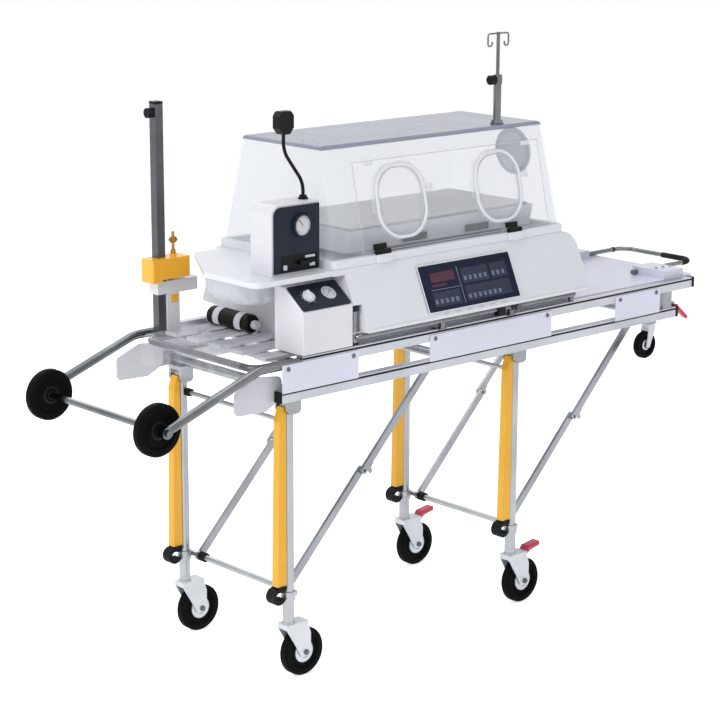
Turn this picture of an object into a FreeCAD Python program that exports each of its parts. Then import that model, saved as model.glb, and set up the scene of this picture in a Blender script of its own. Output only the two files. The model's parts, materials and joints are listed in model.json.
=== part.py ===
"""Transport incubator on a folding ambulance trolley, as a parametric document.

Millimetres, +Z up, +X from the loading wheels towards the pull-out handle,
-Y the side with the screen. The origin is on the floor, in the middle of the
trolley's length and width. The dims sheet holds the driving dimensions.
"""
import FreeCAD, Part
import Sketcher
import math
import os
import re

VECTOR = FreeCAD.Vector

SIZES = [
    ("wheelbase", 830, "front leg axis to rear leg axis"),
    ("leg_y", 219, "centreline to leg axis"),
    ("leg_d", 30, "leg tube outside diameter"),
    ("leg_wall", 3, "leg tube wall"),
    ("leg_foot_z", 156, "floor to the lower end of a leg"),
    ("plug_length", 34, "depth of the caster socket in a leg"),
    ("pivot_z", 735, "floor to the axis on which a leg folds"),
    ("pivot_d", 10, "leg hinge pin"),
    ("fit_gap", 0.05, "radial clearance of a running fit"),
    ("seat_gap", 0.3, "gap between pieces that seat on each other"),
    ("side_gap", 1, "gap beside a piece that turns"),
    ("caster_d", 130, "caster wheel"),
    ("caster_width", 30, "caster tread"),
    ("caster_trail", 44, "swivel axis to caster axle"),
    ("axle_d", 10, "caster axle"),
    ("stem_d", 12, "caster stem"),
    ("fork_plate", 3, "thickness of a caster fork plate"),
    ("fork_space", 2, "gap between a fork plate and the tread"),
    ("crown_d", 40, "caster fork crown"),
    ("crown_height", 14, "thickness of the fork crown"),
    ("cover_foot", 46, "leg axis to the front edge of its cover, at the foot"),
    ("cover_head", 37.5, "the same at the head"),
    ("cover_width", 25, "width of a leg cover"),
    ("cover_wall", 2.5, "wall of a leg cover"),
    ("cover_bottom_z", 261, "floor to the foot of a cover"),
    ("cover_top_z", 736, "floor to the top of a cover"),
    ("cover_slope", 38, "height of the sloping top of a cover"),
    ("bar_z", 228, "floor to the lower cross bar"),
    ("bar_d", 16, "lower cross bar"),
    ("tie_z", 690, "floor to the upper cross bar"),
    ("tie_d", 12, "upper cross bar"),
    ("bumper_d", 44, "outside of the rubber bumper hook"),
    ("bumper_wall", 10, "thickness of the bumper hook"),
    ("brace_top_x", 550, "leg axis to the upper pivot of its brace"),
    ("brace_width", 20, "brace bar height"),
    ("brace_thick", 9.4, "brace bar thickness"),
    ("brace_y", 181.7, "centreline to the middle of the lower brace bar"),
    ("rail_y", 259.5, "centreline to the middle of a side rail"),
    ("rail_width", 25, "side rail width"),
    ("rail_height", 30, "side rail height"),
    ("rail_wall", 2.5, "side rail wall"),
    ("low_rail_z", 775, "floor to the middle of the lower rails"),
    ("low_rail_front", 62, "lower rail ahead of the front leg axis"),
    ("low_rail_back", 638, "lower rail behind the rear leg axis"),
    ("top_rail_z", 855, "floor to the middle of the upper rails"),
    ("top_rail_front", -6, "upper rail ahead of the front leg axis"),
    ("top_rail_back", 708, "upper rail behind the rear leg axis"),
    ("skin", 3, "thickness of the white side plates"),
    ("tube_d", 25, "frame cross tubes"),
    ("deck_z", 872, "floor to the top of the deck"),
    ("deck_thick", 12, "deck plate thickness"),
    ("deck_front", 140, "front leg axis to the front of the deck"),
    ("deck_back", 750, "deck behind the rear leg axis"),
    ("slat_width", 48, "width of a platform slat"),
    ("slat_pitch", 92, "distance between platform slats"),
    ("slat_front", 60, "slats ahead of the front leg axis"),
    ("nose_reach", 112, "front leg axis to the nose tube"),
    ("nose_d", 18, "nose tube"),
    ("loader_reach", 418, "front leg axis to the loading wheel axle"),
    ("loader_z", 750, "floor to the loading wheel axle"),
    ("loader_d", 132, "loading wheel"),
    ("loader_width", 26, "loading wheel tread"),
    ("loader_y", 228, "centreline to the middle of a loading wheel"),
    ("arm_d", 24, "loading arm tube"),
    ("arm_elbow", 125, "front leg axis to the bend of a loading arm"),
    ("arm_bend", 70, "bend radius of a loading arm"),
    ("loader_axle_d", 12, "loading wheel axle"),
    ("handle_reach", 882, "rear leg axis to the end of the pull-out handle"),
    ("handle_y", 140, "centreline to a handle arm"),
    ("handle_d", 14, "handle tube"),
    ("guide_x", 610, "rear leg axis to the guides of the pull-out handle"),
    ("guide_length", 88, "length of such a guide"),
    ("handle_travel", 120, "travel of the pull-out handle"),
    ("mini_x", 530, "rear leg axis to the small caster stem"),
    ("mini_d", 80, "small caster wheel"),
    ("mini_width", 22, "small caster tread"),
    ("mini_trail", 15, "small caster trail"),
    ("mini_z", 692, "floor to the small caster axle"),
    ("base_x", 139, "front leg axis to the left end of the incubator base"),
    ("base_length", 908, "incubator base length"),
    ("base_top_z", 1066, "floor to the top of the incubator base"),
    ("base_foot_y", 300, "centreline to the base's widest edge"),
    ("base_edge_z", 905, "floor to the base's widest edge"),
    ("base_lip", 12, "upright band along the widest edge"),
    ("base_top_y", 233, "centreline to the top edge of the base"),
    ("base_under_y", 225, "centreline to the plinth under the base"),
    ("base_wall", 5, "wall of the base moulding"),
    ("base_round", 44, "end corner radius of the base"),
    ("wing_reach", 112, "side shelf ahead of the front leg axis"),
    ("wing_near_y", 27, "centreline to the shelf's left far corner"),
    ("wing_tip_x", 34, "front leg axis to the shelf's far corner"),
    ("wing_tip_y", 200, "centreline to the shelf's far corner"),
    ("wing_thick", 14, "side shelf thickness"),
    ("screen_x", 422, "front leg axis to the screen"),
    ("screen_width", 344, "screen width"),
    ("screen_height", 127, "screen height"),
    ("screen_rise", 8, "foot of the sloping face to the screen"),
    ("hood_x", 152, "front leg axis to the left foot of the hood"),
    ("hood_length", 849, "hood length at its foot"),
    ("hood_y", 225, "centreline to the hood wall at its foot"),
    ("hood_rim_z", 1362, "floor to the top of the clear walls"),
    ("hood_lean_y", 65.8, "lean of the long walls up to the rim"),
    ("hood_lean_x", 15.9, "lean of the end walls up to the rim"),
    ("hood_wall", 4, "wall of the clear hood"),
    ("frame_out", 7, "hood foot frame outside the clear walls"),
    ("frame_height", 21.7, "height of the hood foot frame"),
    ("roof_z", 1372, "floor to the top of the roof"),
    ("roof_in_y", 6, "slope of the roof's long sides"),
    ("roof_in_x", 5, "slope of the roof's ends"),
    ("door_x", 262, "front leg axis to the access door"),
    ("door_length", 698, "access door length"),
    ("door_rise", 27, "hood foot to the lower edge of the access door"),
    ("door_height", 238, "access door height along the wall"),
    ("hinge_out", 14, "door hinge axis outside the clear wall"),
    ("hinge_low", 1, "door hinge axis below the door's edge"),
    ("hinge_d", 8, "door hinge barrel"),
    ("hinge_width", 46, "door hinge width"),
    ("door_gap", 1.5, "gap round the access door"),
    ("port_x", 412, "front leg axis to the first hand port"),
    ("port_pitch", 365, "distance between the hand ports"),
    ("port_width", 165, "hand port width"),
    ("port_height", 185, "hand port height"),
    ("port_up", 151, "hood foot to the middle of a hand port"),
    ("port_lip", 9, "overlap of a port cover on the door"),
    ("port_plate", 4, "thickness of a port cover"),
    ("iris_y", 46, "centreline to the iris port"),
    ("iris_z", 1276, "floor to the iris port"),
    ("iris_d", 108, "iris port opening"),
    ("iris_rim", 13, "width of the iris port ring"),
    ("tray_near", 110, "hood's left end to the mattress tray"),
    ("tray_far", 49, "mattress tray to the hood's right end"),
    ("tray_y", 165, "half width of the mattress tray"),
    ("tray_foot", 18, "hood floor to the underside of the tray"),
    ("tray_height", 58, "mattress tray height"),
    ("mattress_thick", 28, "mattress thickness"),
    ("cabinet_x", -30, "front leg axis to the gas cabinet"),
    ("cabinet_width", 157, "gas cabinet width"),
    ("cabinet_y", 196, "centreline to the front of the gas cabinet"),
    ("cabinet_depth", 86, "gas cabinet depth"),
    ("cabinet_height", 178, "gas cabinet height"),
    ("cabinet_face", 4, "thickness of the dark fronts"),
    ("box_x", 8, "front leg axis to the control box"),
    ("box_width", 166, "control box width"),
    ("box_y", 272, "centreline to the front of the control box"),
    ("box_depth", 112, "control box depth"),
    ("box_edge_z", 982, "floor to the foot of its sloping panel"),
    ("box_top_z", 1036, "floor to the top of the control box"),
    ("box_slope_y", 72, "depth of the sloping panel"),
    ("dial_d", 34, "control dial"),
    ("lamp_x", 112, "front leg axis to the foot of the flexible lamp"),
    ("lamp_y", 152, "centreline to the flexible lamp"),
    ("lamp_d", 9, "flexible lamp stem"),
    ("lamp_shift", 64, "sideways reach of the lamp stem"),
    ("lamp_rise", 178, "height of the lamp stem"),
    ("pole_x", 840, "front leg axis to the infusion pole"),
    ("pole_y", 127, "centreline to the infusion pole"),
    ("pole_d", 22, "infusion pole tube"),
    ("pole_top_z", 1508, "floor to the top of the pole tube"),
    ("rod_d", 10, "sliding rod of the pole"),
    ("rod_top_z", 1624, "floor to the cross bar of the hooks"),
    ("rod_travel", 90, "travel of the sliding rod"),
    ("hook_reach", 40, "pole axis to a hook"),
    ("hook_wire", 5, "hook wire"),
    ("mast_x", 67, "mast ahead of the front leg axis"),
    ("mast_y", 221, "centreline to the mast"),
    ("mast_width", 25, "mast tube width"),
    ("mast_top_z", 1466, "floor to the top of the mast"),
    ("mast_wall", 2.5, "mast tube wall"),
    ("knob_d", 26, "clamp knobs"),
    ("knob_length", 18, "length of a clamp knob"),
    ("clamp_z", 1000, "floor to the mast clamp"),
    ("clamp_height", 34, "mast clamp height"),
    ("block_z", 1001, "floor to the regulator block"),
    ("block_height", 62, "regulator block height"),
    ("block_length", 124, "regulator block length"),
    ("block_depth", 46, "regulator block depth"),
    ("bottle_d", 51.4, "strapped bottle"),
    ("bag_x", -90, "front leg axis to the supply bag"),
    ("bag_length", 225, "supply bag length"),
    ("bag_z", 968, "floor to the underside of the bag"),
    ("bag_low", 17, "rise of the bag's underside to its outer end"),
    ("bag_y", 40, "centreline to the bag's far side"),
    ("bag_depth", 185, "bag depth across the trolley"),
    ("bottle_x", 88, "front leg axis to the bottle"),
    ("bottle_y", 195, "centreline to the bottle's far end"),
    ("bottle_length", 175, "bottle length"),
    ("grab_x", 190, "front leg axis to the start of the grab rail"),
    ("grab_length", 826, "length of the grab rail"),
    ("grab_y", 278, "centreline to the grab rail"),
    ("grab_z", 893.5, "floor to the grab rail"),
    ("grab_d", 13, "grab rail tube"),
    ("post_d", 20, "tall post at the end of the grab rail"),
    ("post_top_z", 960, "floor to the top of that post"),
]

DERIVED = {
    "overall": "loader_reach + loader_d/2 + wheelbase + handle_reach",
    "front_x": "loader_reach + loader_d/2 - overall/2",
    "rear_x": "front_x + wheelbase",
    "leg_r": "leg_d/2",
    "rail_in": "rail_y - rail_width/2",
    "rail_out": "rail_y + rail_width/2",
    "low_rail_top": "low_rail_z + rail_height/2",
    "top_rail_top": "top_rail_z + rail_height/2",
    "bar_x": "leg_r + bar_d/2 + side_gap",
    "brace_dx": "brace_top_x - bar_x",
    "brace_dz": "low_rail_z - bar_z",
    "brace_slope": "atan2(brace_dz; brace_dx)",
    "link_length": "sqrt(brace_dx^2 + brace_dz^2)/2",
    "tie_reach": "leg_y - leg_r - seat_gap - 20",
    "fork_inside": "caster_width/2 + fork_space",
    "fork_outside": "fork_inside + fork_plate",
    "arm_y": "rail_y",
    "base_seat": "deck_z + seat_gap",
    "slat_top": "deck_z - 6",
    "slat_low": "deck_z - 16",
    "shell_z": "base_top_z + seat_gap",
    "wing_z": "base_top_z - wing_thick",
    "face_slope": "atan2(base_foot_y - base_top_y; base_top_z - base_edge_z - base_lip)",
    "face_foot_z": "base_edge_z + base_lip",
    "walls_z": "shell_z + frame_height + seat_gap",
    "wall_slope": "atan2(hood_lean_y; hood_rim_z - shell_z)",
    "end_slope": "atan2(hood_lean_x; hood_rim_z - shell_z)",
    "panel_slope": "atan2(box_slope_y; box_top_z - box_edge_z)",
    "cabinet_top": "shell_z + cabinet_height",
    "tray_x": "hood_x + tray_near",
    "tray_length": "hood_length - tray_near - tray_far",
}

HANDLE_Z = "deck_z + handle_d/2 + 2"
NAMES = {alias for alias, value, note in SIZES}

doc = FreeCAD.newDocument("transport_incubator")
sheet = doc.addObject("Spreadsheet::Sheet", "dims")
nodes = []


def fill_sheet():
    for row, (alias, value, note) in enumerate(SIZES, start=1):
        sheet.set("A%d" % row, note)
        sheet.set("B%d" % row, str(value))
        sheet.setAlias("B%d" % row, alias)
    doc.recompute()


def formula(text):
    """Spell out the derived sizes and point each name at the sheet."""
    def spell(match):
        word = match.group()
        if word in DERIVED:
            return "(" + formula(DERIVED[word]) + ")"
        return "dims." + word if word in NAMES else word
    return re.sub(r"[A-Za-z_]\w*", spell, str(text))


def number(text):
    found = sheet.evalExpression(formula(text))
    return float(getattr(found, "Value", found))


def bind(thing, path, text):
    thing.setExpression(path, formula(text))


def new_body(name):
    return doc.addObject("PartDesign::Body", name)


def draw(body, role, away="0"):
    """A sketch on an origin plane, moved to 'away' along the plane's own axis."""
    sketch = body.newObject("Sketcher::SketchObject", body.Name + "_sketch")
    base = next(item for item in body.Origin.OriginFeatures if item.Role == role)
    sketch.AttachmentSupport = [(base, "")]
    sketch.MapMode = "FlatFace"
    sign = "-" if role == "XZ_Plane" else ""
    bind(sketch, "AttachmentOffset.Base.z", "%s(%s)" % (sign, away))
    return sketch


def pin(sketch, item, vertex, x, y):
    """Hold one point of a sketch at bound distances from the sketch's origin."""
    for kind, text in (("DistanceX", x), ("DistanceY", y)):
        rule = Sketcher.Constraint(kind, -1, 1, item, vertex, number(text))
        bind(sketch, "Constraints[%d]" % sketch.addConstraint(rule), text)


def outline(sketch, corners):
    """A closed outline of straight lines."""
    points = [VECTOR(number(x), number(y), 0) for x, y in corners]
    start = sketch.GeometryCount
    count = len(points)
    for index in range(count):
        sketch.addGeometry(Part.LineSegment(points[index], points[(index + 1) % count]))
    for index in range(count):
        ahead = start + (index + 1) % count
        sketch.addConstraint(Sketcher.Constraint("Coincident", start + index, 2, ahead, 1))
    for index, (x, y) in enumerate(corners):
        pin(sketch, start + index, 1, x, y)
    return sketch


def box_outline(sketch, x_low, y_low, x_high, y_high):
    return outline(sketch, [(x_low, y_low), (x_high, y_low), (x_high, y_high), (x_low, y_high)])


def circle(sketch, x, y, radius):
    centre = VECTOR(number(x), number(y), 0)
    item = sketch.addGeometry(Part.Circle(centre, VECTOR(0, 0, 1), number(radius)))
    pin(sketch, item, 3, x, y)
    rule = sketch.addConstraint(Sketcher.Constraint("Radius", item, number(radius)))
    bind(sketch, "Constraints[%d]" % rule, radius)
    return sketch


def bent_path(sketch, corners, radii):
    """An open path of straight runs joined by tangent arcs, one radius for each bend."""
    points = [VECTOR(number(x), number(y), 0) for x, y in corners]
    rounds = [number(radius) for radius in radii]
    cuts = [0]
    for before, here, after, radius in zip(points, points[1:], points[2:], rounds):
        turn = (here - before).getAngle(after - here)
        cuts.append(radius * abs(math.tan(turn / 2)))
    cuts.append(0)
    lines = []
    for index in range(len(points) - 1):
        step = points[index + 1] - points[index]
        step.normalize()
        line = Part.LineSegment(points[index] + step * cuts[index],
                                points[index + 1] - step * cuts[index + 1])
        lines.append(sketch.addGeometry(line))
    pin(sketch, lines[0], 1, *corners[0])
    pin(sketch, lines[-1], 2, *corners[-1])
    for index, radius in enumerate(radii):
        add_bend(sketch, points[index:index + 3], cuts[index + 1], rounds[index],
                 lines[index:index + 2], corners[index + 1], radius)
    return sketch


def add_bend(sketch, points, cut, radius_now, lines, corner, radius):
    before, here, after = points
    back = (before - here)
    back.normalize()
    ahead = (after - here)
    ahead.normalize()
    bisector = back + ahead
    bisector.normalize()
    reach = (cut ** 2 + radius_now ** 2) ** 0.5
    middle = here + bisector * (reach - radius_now)
    arc = sketch.addGeometry(Part.Arc(here + back * cut, middle, here + ahead * cut))
    centre = here + bisector * reach
    begins = sketch.getPoint(arc, 1)
    first = 1 if (begins - (here + back * cut)).Length < (begins - (here + ahead * cut)).Length else 2
    sketch.addConstraint(Sketcher.Constraint("Tangent", lines[0], 2, arc, first))
    sketch.addConstraint(Sketcher.Constraint("Tangent", arc, 3 - first, lines[1], 1))
    rule = sketch.addConstraint(Sketcher.Constraint("Radius", arc, radius_now))
    bind(sketch, "Constraints[%d]" % rule, radius)
    spot = sketch.addGeometry(Part.Point(here), True)
    pin(sketch, spot, 1, *corner)
    sketch.addConstraint(Sketcher.Constraint("PointOnObject", spot, 1, lines[0]))
    sketch.addConstraint(Sketcher.Constraint("PointOnObject", spot, 1, lines[1]))
    assert (centre - here).Length > 0


def pad(body, sketch, length, both=False, back=False):
    """Thicken a sketch: +X, -Y or +Z from its plane, or to both sides of it."""
    feature = body.newObject("PartDesign::Pad", body.Name + "_pad")
    feature.Profile = sketch
    feature.SideType = "Symmetric" if both else "One side"
    feature.Reversed = back
    bind(feature, "Length", length)
    return feature


def pocket(body, sketch, length, both=True, back=False):
    """Cut a sketch into the body, and make sure that it takes something away."""
    doc.recompute()
    before = body.Shape.Volume
    feature = body.newObject("PartDesign::Pocket", body.Name + "_pocket")
    feature.Profile = sketch
    feature.SideType = "Symmetric" if both else "One side"
    feature.Reversed = back
    bind(feature, "Length", length)
    doc.recompute()
    if not body.Shape.Volume < before - 0.01:
        raise RuntimeError(feature.Name + " cuts nothing")
    return feature


def turn(body, sketch, axis):
    feature = body.newObject("PartDesign::Revolution", body.Name + "_turn")
    feature.Profile = sketch
    feature.ReferenceAxis = (sketch, [axis])
    feature.Angle = 360
    return feature


def pipe(body, profile, path):
    feature = body.newObject("PartDesign::AdditivePipe", body.Name + "_pipe")
    feature.Profile = profile
    feature.Spine = path
    doc.recompute()
    return feature


def loft(body, profile, section, kind="PartDesign::AdditiveLoft"):
    feature = body.newObject(kind, body.Name + "_loft")
    feature.Profile = profile
    feature.Sections = [section]
    feature.Ruled = True
    return feature


def runs_along(edge, axis):
    ends = edge.Vertexes
    if len(ends) < 2 or not isinstance(edge.Curve, Part.Line):
        return False
    step = ends[1].Point - ends[0].Point
    return abs(abs(getattr(step, axis)) - step.Length) < 1e-6


def near(edge, **places):
    """True where the edge's middle is at each given place: x='...', y='...', z='...'."""
    middle = edge.CenterOfMass
    return all(abs(getattr(middle, axis) - number(text)) < 0.6 for axis, text in places.items())


def smooth(body, radius, chosen, kind="PartDesign::Fillet"):
    """Round or bevel the edges of the last feature that the test picks out."""
    doc.recompute()
    tip = body.Tip
    names = ["Edge%d" % (index + 1) for index, edge in enumerate(tip.Shape.Edges) if chosen(edge)]
    if not names:
        raise RuntimeError(body.Name + " has no such edge")
    feature = body.newObject(kind, body.Name + "_edge")
    feature.Base = (tip, names)
    bind(feature, "Radius" if kind.endswith("Fillet") else "Size", radius)
    doc.recompute()
    return feature


def place(thing, x="0", y="0", z="0", axis=None, angle="0"):
    """Put a piece in its place, turned about one axis through its own origin."""
    if axis:
        rotation = FreeCAD.Rotation(VECTOR(*axis), 30)
        thing.Placement = FreeCAD.Placement(VECTOR(), rotation)
        bind(thing, "Placement.Rotation.Angle", angle)
    for letter, text in zip("xyz", (x, y, z)):
        bind(thing, "Placement.Base." + letter, text)
    return thing


def mirrored(thing):
    """The same piece on the other side of the trolley."""
    twin = doc.addObject("Part::Mirroring", thing.Name + "_twin")
    twin.Source = thing
    twin.Normal = VECTOR(0, 1, 0)
    twin.Base = VECTOR(0, 0, 0)
    return twin


def node(name, *pieces):
    """One named sub-part: a single piece, or several separate ones."""
    if len(pieces) == 1:
        thing = pieces[0]
    else:
        thing = doc.addObject("Part::Compound", name)
        thing.Links = list(pieces)
    thing.Label = name
    nodes.append(thing)
    return thing


def both_sides(name, *pieces):
    return node(name, *[each for piece in pieces for each in (piece, mirrored(piece))])


# Legs, covers and braces
def leg_tube(end):
    """Tube with a plugged foot for the caster stem and a knuckle for the hinge pin."""
    body = new_body(end + "_leg_tube")
    plug_top = "leg_foot_z + plug_length"
    bore = "stem_d/2 + fit_gap"
    inside = "leg_r - leg_wall"
    outline(draw(body, "XZ_Plane"), [
        (bore, "leg_foot_z"), ("leg_r", "leg_foot_z"), ("leg_r", "pivot_z"),
        (inside, "pivot_z"), (inside, plug_top + " + 6"), ("0", plug_top + " + 6"),
        ("0", plug_top), (bore, plug_top)])
    turn(body, body.Group[-1], "V_Axis")
    pad(body, circle(draw(body, "XZ_Plane"), "0", "pivot_z", "leg_r - 0.5"), "leg_d - 2", both=True)
    pocket(body, circle(draw(body, "XZ_Plane"), "0", "pivot_z", "pivot_d/2 + fit_gap"), "2*leg_d")
    return place(body, end + "_x", "leg_y")


def cross_bar(end):
    """Lower bar behind the legs, with a collar round each leg."""
    body = new_body(end + "_cross_bar")
    pad(body, circle(draw(body, "XZ_Plane"), "bar_x", "bar_z", "bar_d/2"), "2*leg_y", both=True)
    for side in ("leg_y", "-leg_y"):
        pad(body, circle(draw(body, "XY_Plane", "bar_z - 12"), "0", side, "leg_r + 4"), "24")
    for side in ("leg_y", "-leg_y"):
        hole = circle(draw(body, "XY_Plane", "bar_z"), "0", side, "leg_r + fit_gap")
        pocket(body, hole, "60")
    return place(body, end + "_x")


def tie_bar(end):
    body = new_body(end + "_tie_bar")
    pad(body, circle(draw(body, "XZ_Plane"), "4", "tie_z", "tie_d/2"), "2*tie_reach", both=True)
    return place(body, end + "_x")


def leg_cover(end):
    """Narrow hollow cover in front of a leg, open at its foot and pointed at its top."""
    body = new_body(end + "_leg_cover")
    slope_z = "cover_top_z - cover_slope"
    back = "-(leg_r + seat_gap)"
    outline(draw(body, "XZ_Plane"), [
        ("-cover_foot", "cover_bottom_z"), (back, "cover_bottom_z"), (back, "cover_top_z"),
        ("-cover_head*0.62", "cover_top_z"), ("-cover_head", slope_z)])
    pad(body, body.Group[-1], "cover_width", both=True)
    inner_top = "cover_top_z - 2*cover_wall"
    outline(draw(body, "XZ_Plane"), [
        ("cover_wall - cover_foot", "cover_bottom_z - 1"),
        (back + " - cover_wall", "cover_bottom_z - 1"), (back + " - cover_wall", inner_top),
        ("-cover_head*0.62", inner_top), ("cover_wall - cover_head", slope_z)])
    pocket(body, body.Group[-1], "cover_width - 2*cover_wall")
    smooth(body, "cover_wall*1.6", lambda edge: not runs_along(edge, "y")
           and abs(abs(edge.CenterOfMass.y) - number("cover_width/2")) < 0.2
           and edge.CenterOfMass.x < -number("cover_head*0.9"))
    return place(body, end + "_x", "leg_y")


def bumper(end):
    """Rubber hook under a cover: most of a ring, open towards the leg."""
    body = new_body(end + "_bumper")
    centre_x = "-(leg_r + 4 + seat_gap + bumper_d/2)"
    centre_z = "cover_bottom_z - seat_gap - bumper_d/2 - 4"
    pad(body, circle(draw(body, "XZ_Plane"), centre_x, centre_z, "bumper_d/2"), "leg_d", both=True)
    inner = circle(draw(body, "XZ_Plane"), centre_x, centre_z, "bumper_d/2 - bumper_wall")
    pocket(body, inner, "2*leg_d")
    mouth = box_outline(draw(body, "XZ_Plane"), centre_x, centre_z + " - bumper_d/4 + 2",
                        "0", centre_z + " + bumper_d/4 - 2")
    pocket(body, mouth, "2*leg_d")
    lug = box_outline(draw(body, "XZ_Plane"), centre_x, centre_z + " + bumper_d/2 - bumper_wall",
                      "-(leg_r + 4 + seat_gap)", centre_z + " + bumper_d/2 + 4")
    pad(body, lug, "leg_d", both=True)
    return place(body, end + "_x", "leg_y")


def tie_block(end):
    """Rubber end block of the upper cross bar, against the leg's inner side."""
    body = new_body(end + "_tie_block")
    block = box_outline(draw(body, "XZ_Plane", "leg_y - leg_r - seat_gap"),
                        "-5", "tie_z - 9", "13", "tie_z + 9")
    pad(body, block, "20")
    smooth(body, "3", lambda edge: runs_along(edge, "y"))
    return place(body, end + "_x")


def bar_sleeve(end):
    """Rubber sleeve on the lower cross bar, beside the brace."""
    body = new_body(end + "_bar_sleeve")
    sketch = circle(draw(body, "XZ_Plane", "brace_y - brace_thick/2 - side_gap"),
                    "bar_x", "bar_z", "bar_d/2 + 5")
    circle(sketch, "bar_x", "bar_z", "bar_d/2 + fit_gap")
    pad(body, sketch, "22")
    return place(body, end + "_x")


def brace_link(name, eye_bore, knee_bore):
    """Flat bar with a round eye at each end, drawn along its own X axis."""
    body = new_body(name)
    bar = box_outline(draw(body, "XZ_Plane"), "0", "-brace_width/2", "link_length", "brace_width/2")
    pad(body, bar, "brace_thick", both=True)
    pad(body, circle(draw(body, "XZ_Plane"), "0", "0", "brace_width/2 + 3"), "brace_thick", both=True)
    knee = circle(draw(body, "XZ_Plane"), "link_length", "0", "brace_width/2")
    pad(body, knee, "brace_thick", both=True)
    pocket(body, circle(draw(body, "XZ_Plane"), "0", "0", eye_bore), "2*brace_thick")
    pocket(body, circle(draw(body, "XZ_Plane"), "link_length", "0", knee_bore), "2*brace_thick")
    return body


def lower_brace(end):
    body = brace_link(end + "_lower_link", "bar_d/2 + fit_gap", "4")
    return place(body, end + "_x + bar_x", "brace_y", "bar_z", (0, 1, 0), "-brace_slope")


def upper_brace(end):
    body = brace_link(end + "_upper_link", "bar_d/2 + fit_gap", "4")
    hook = outline(draw(body, "XZ_Plane"), [
        ("link_length - 34", "brace_width/2 - 2"), ("link_length - 10", "brace_width/2 - 2"),
        ("link_length - 6", "brace_width/2 + 16"), ("link_length - 16", "brace_width/2 + 16"),
        ("link_length - 20", "brace_width/2 + 6"), ("link_length - 34", "brace_width/2 + 4")])
    pad(body, hook, "brace_thick - 4", both=True)
    return place(body, end + "_x + brace_top_x", "brace_y + brace_thick + side_gap", "low_rail_z",
                 (0, 1, 0), "180 deg - brace_slope")


def leg_sets():
    for end in ("front", "rear"):
        tube = leg_tube(end)
        node(end + "_legs", tube, mirrored(tube), cross_bar(end), tie_bar(end))
        both_sides(end + "_leg_covers", leg_cover(end))
        both_sides(end + "_leg_rubbers", bumper(end), tie_block(end), bar_sleeve(end))
        both_sides(end + "_lower_braces", lower_brace(end))
        both_sides(end + "_upper_braces", upper_brace(end))


# Casters
def caster_fork(name, end, side):
    body = new_body(name)
    top = "leg_foot_z - seat_gap"
    crown_low = "caster_d + fork_space*4"
    back = "caster_trail + 16"
    outline(draw(body, "XZ_Plane"), [
        ("-crown_d/2", crown_low + " + crown_height"), ("-crown_d/2", crown_low),
        ("caster_trail - 15", "caster_d/2 - 12"), ("caster_trail + 15", "caster_d/2 - 12"),
        (back, "caster_d/2 + 50"), (back + " - 8", crown_low + " + 2"),
        (back + " - 8", crown_low + " + crown_height")])
    pad(body, body.Group[-1], "2*fork_outside", both=True)
    slot = box_outline(draw(body, "YZ_Plane"), "-fork_inside", "0", "fork_inside", crown_low)
    pocket(body, slot, "6*crown_d")
    disc = circle(draw(body, "XY_Plane", crown_low + " + crown_height - 1"), "0", "0", "crown_d/2 - 3")
    pad(body, disc, "leg_foot_z - seat_gap - (%s + crown_height - 1)" % crown_low)
    stem = circle(draw(body, "XY_Plane", top + " - 1"), "0", "0", "stem_d/2")
    pad(body, stem, "plug_length")
    axle = circle(draw(body, "XZ_Plane"), "caster_trail", "caster_d/2", "axle_d/2")
    pad(body, axle, "2*fork_outside", both=True)
    smooth(body, "10", lambda edge: runs_along(edge, "y") and near(edge, z="caster_d/2 - 12"))
    return node(name, place(body, end + "_x", side + "leg_y"))


def wheel(name, diameter, width, bore, x, y, z, hub_reach):
    """Wheel turned about Y: rounded tread, dished web and a hub boss."""
    body = new_body(name)
    rim = "%s/2" % diameter
    half = "%s/2" % width
    outline(draw(body, "YZ_Plane"), [
        ("-(%s)" % hub_reach, bore), (hub_reach, bore), (hub_reach, rim + " * 0.24"),
        (half + " * 0.55", rim + " * 0.3"), (half + " * 0.55", rim + " * 0.66"),
        (half, rim + " * 0.74"), (half, rim + " * 0.93"), (half + " * 0.62", rim),
        ("-%s * 0.62" % half, rim), ("-" + half, rim + " * 0.93"), ("-" + half, rim + " * 0.74"),
        ("-%s * 0.55" % half, rim + " * 0.66"), ("-%s * 0.55" % half, rim + " * 0.3"),
        ("-(%s)" % hub_reach, rim + " * 0.24")])
    turn(body, body.Group[-1], "H_Axis")
    return node(name, place(body, x, y, z))


def brake_pedal(name, side):
    """Foot pedal behind the fork crown."""
    body = new_body(name)
    z = "caster_d + fork_space*4 + 7"
    x = "caster_trail + 8 + 5 + seat_gap"
    pad(body, circle(draw(body, "XZ_Plane"), x, z, "5"), "26", both=True)
    plate = outline(draw(body, "XZ_Plane"), [
        (x, z + " - 3"), (x + " + 14", z + " + 6"), (x + " + 54", z + " + 14"),
        (x + " + 52", z + " + 24"), (x + " + 8", z + " + 18"), (x + " - 3", z + " + 2")])
    pad(body, plate, "30", both=True)
    smooth(body, "4", lambda edge: runs_along(edge, "z") is False and not runs_along(edge, "y")
           and edge.CenterOfMass.z > number(z + " + 17"))
    return node(name, place(body, "rear_x", side + "leg_y"))


def casters():
    for end in ("front", "rear"):
        for hand, side in (("left", "-"), ("right", "")):
            name = "%s_%s" % (end, hand)
            caster_fork(name + "_fork", end, side)
            wheel(name + "_wheel", "caster_d", "caster_width", "axle_d/2 + fit_gap",
                  end + "_x + caster_trail", side + "leg_y", "caster_d/2", "fork_inside - 0.5")
    for hand, side in (("left", "-"), ("right", "")):
        brake_pedal("%s_brake_pedal" % hand, side)


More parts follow.
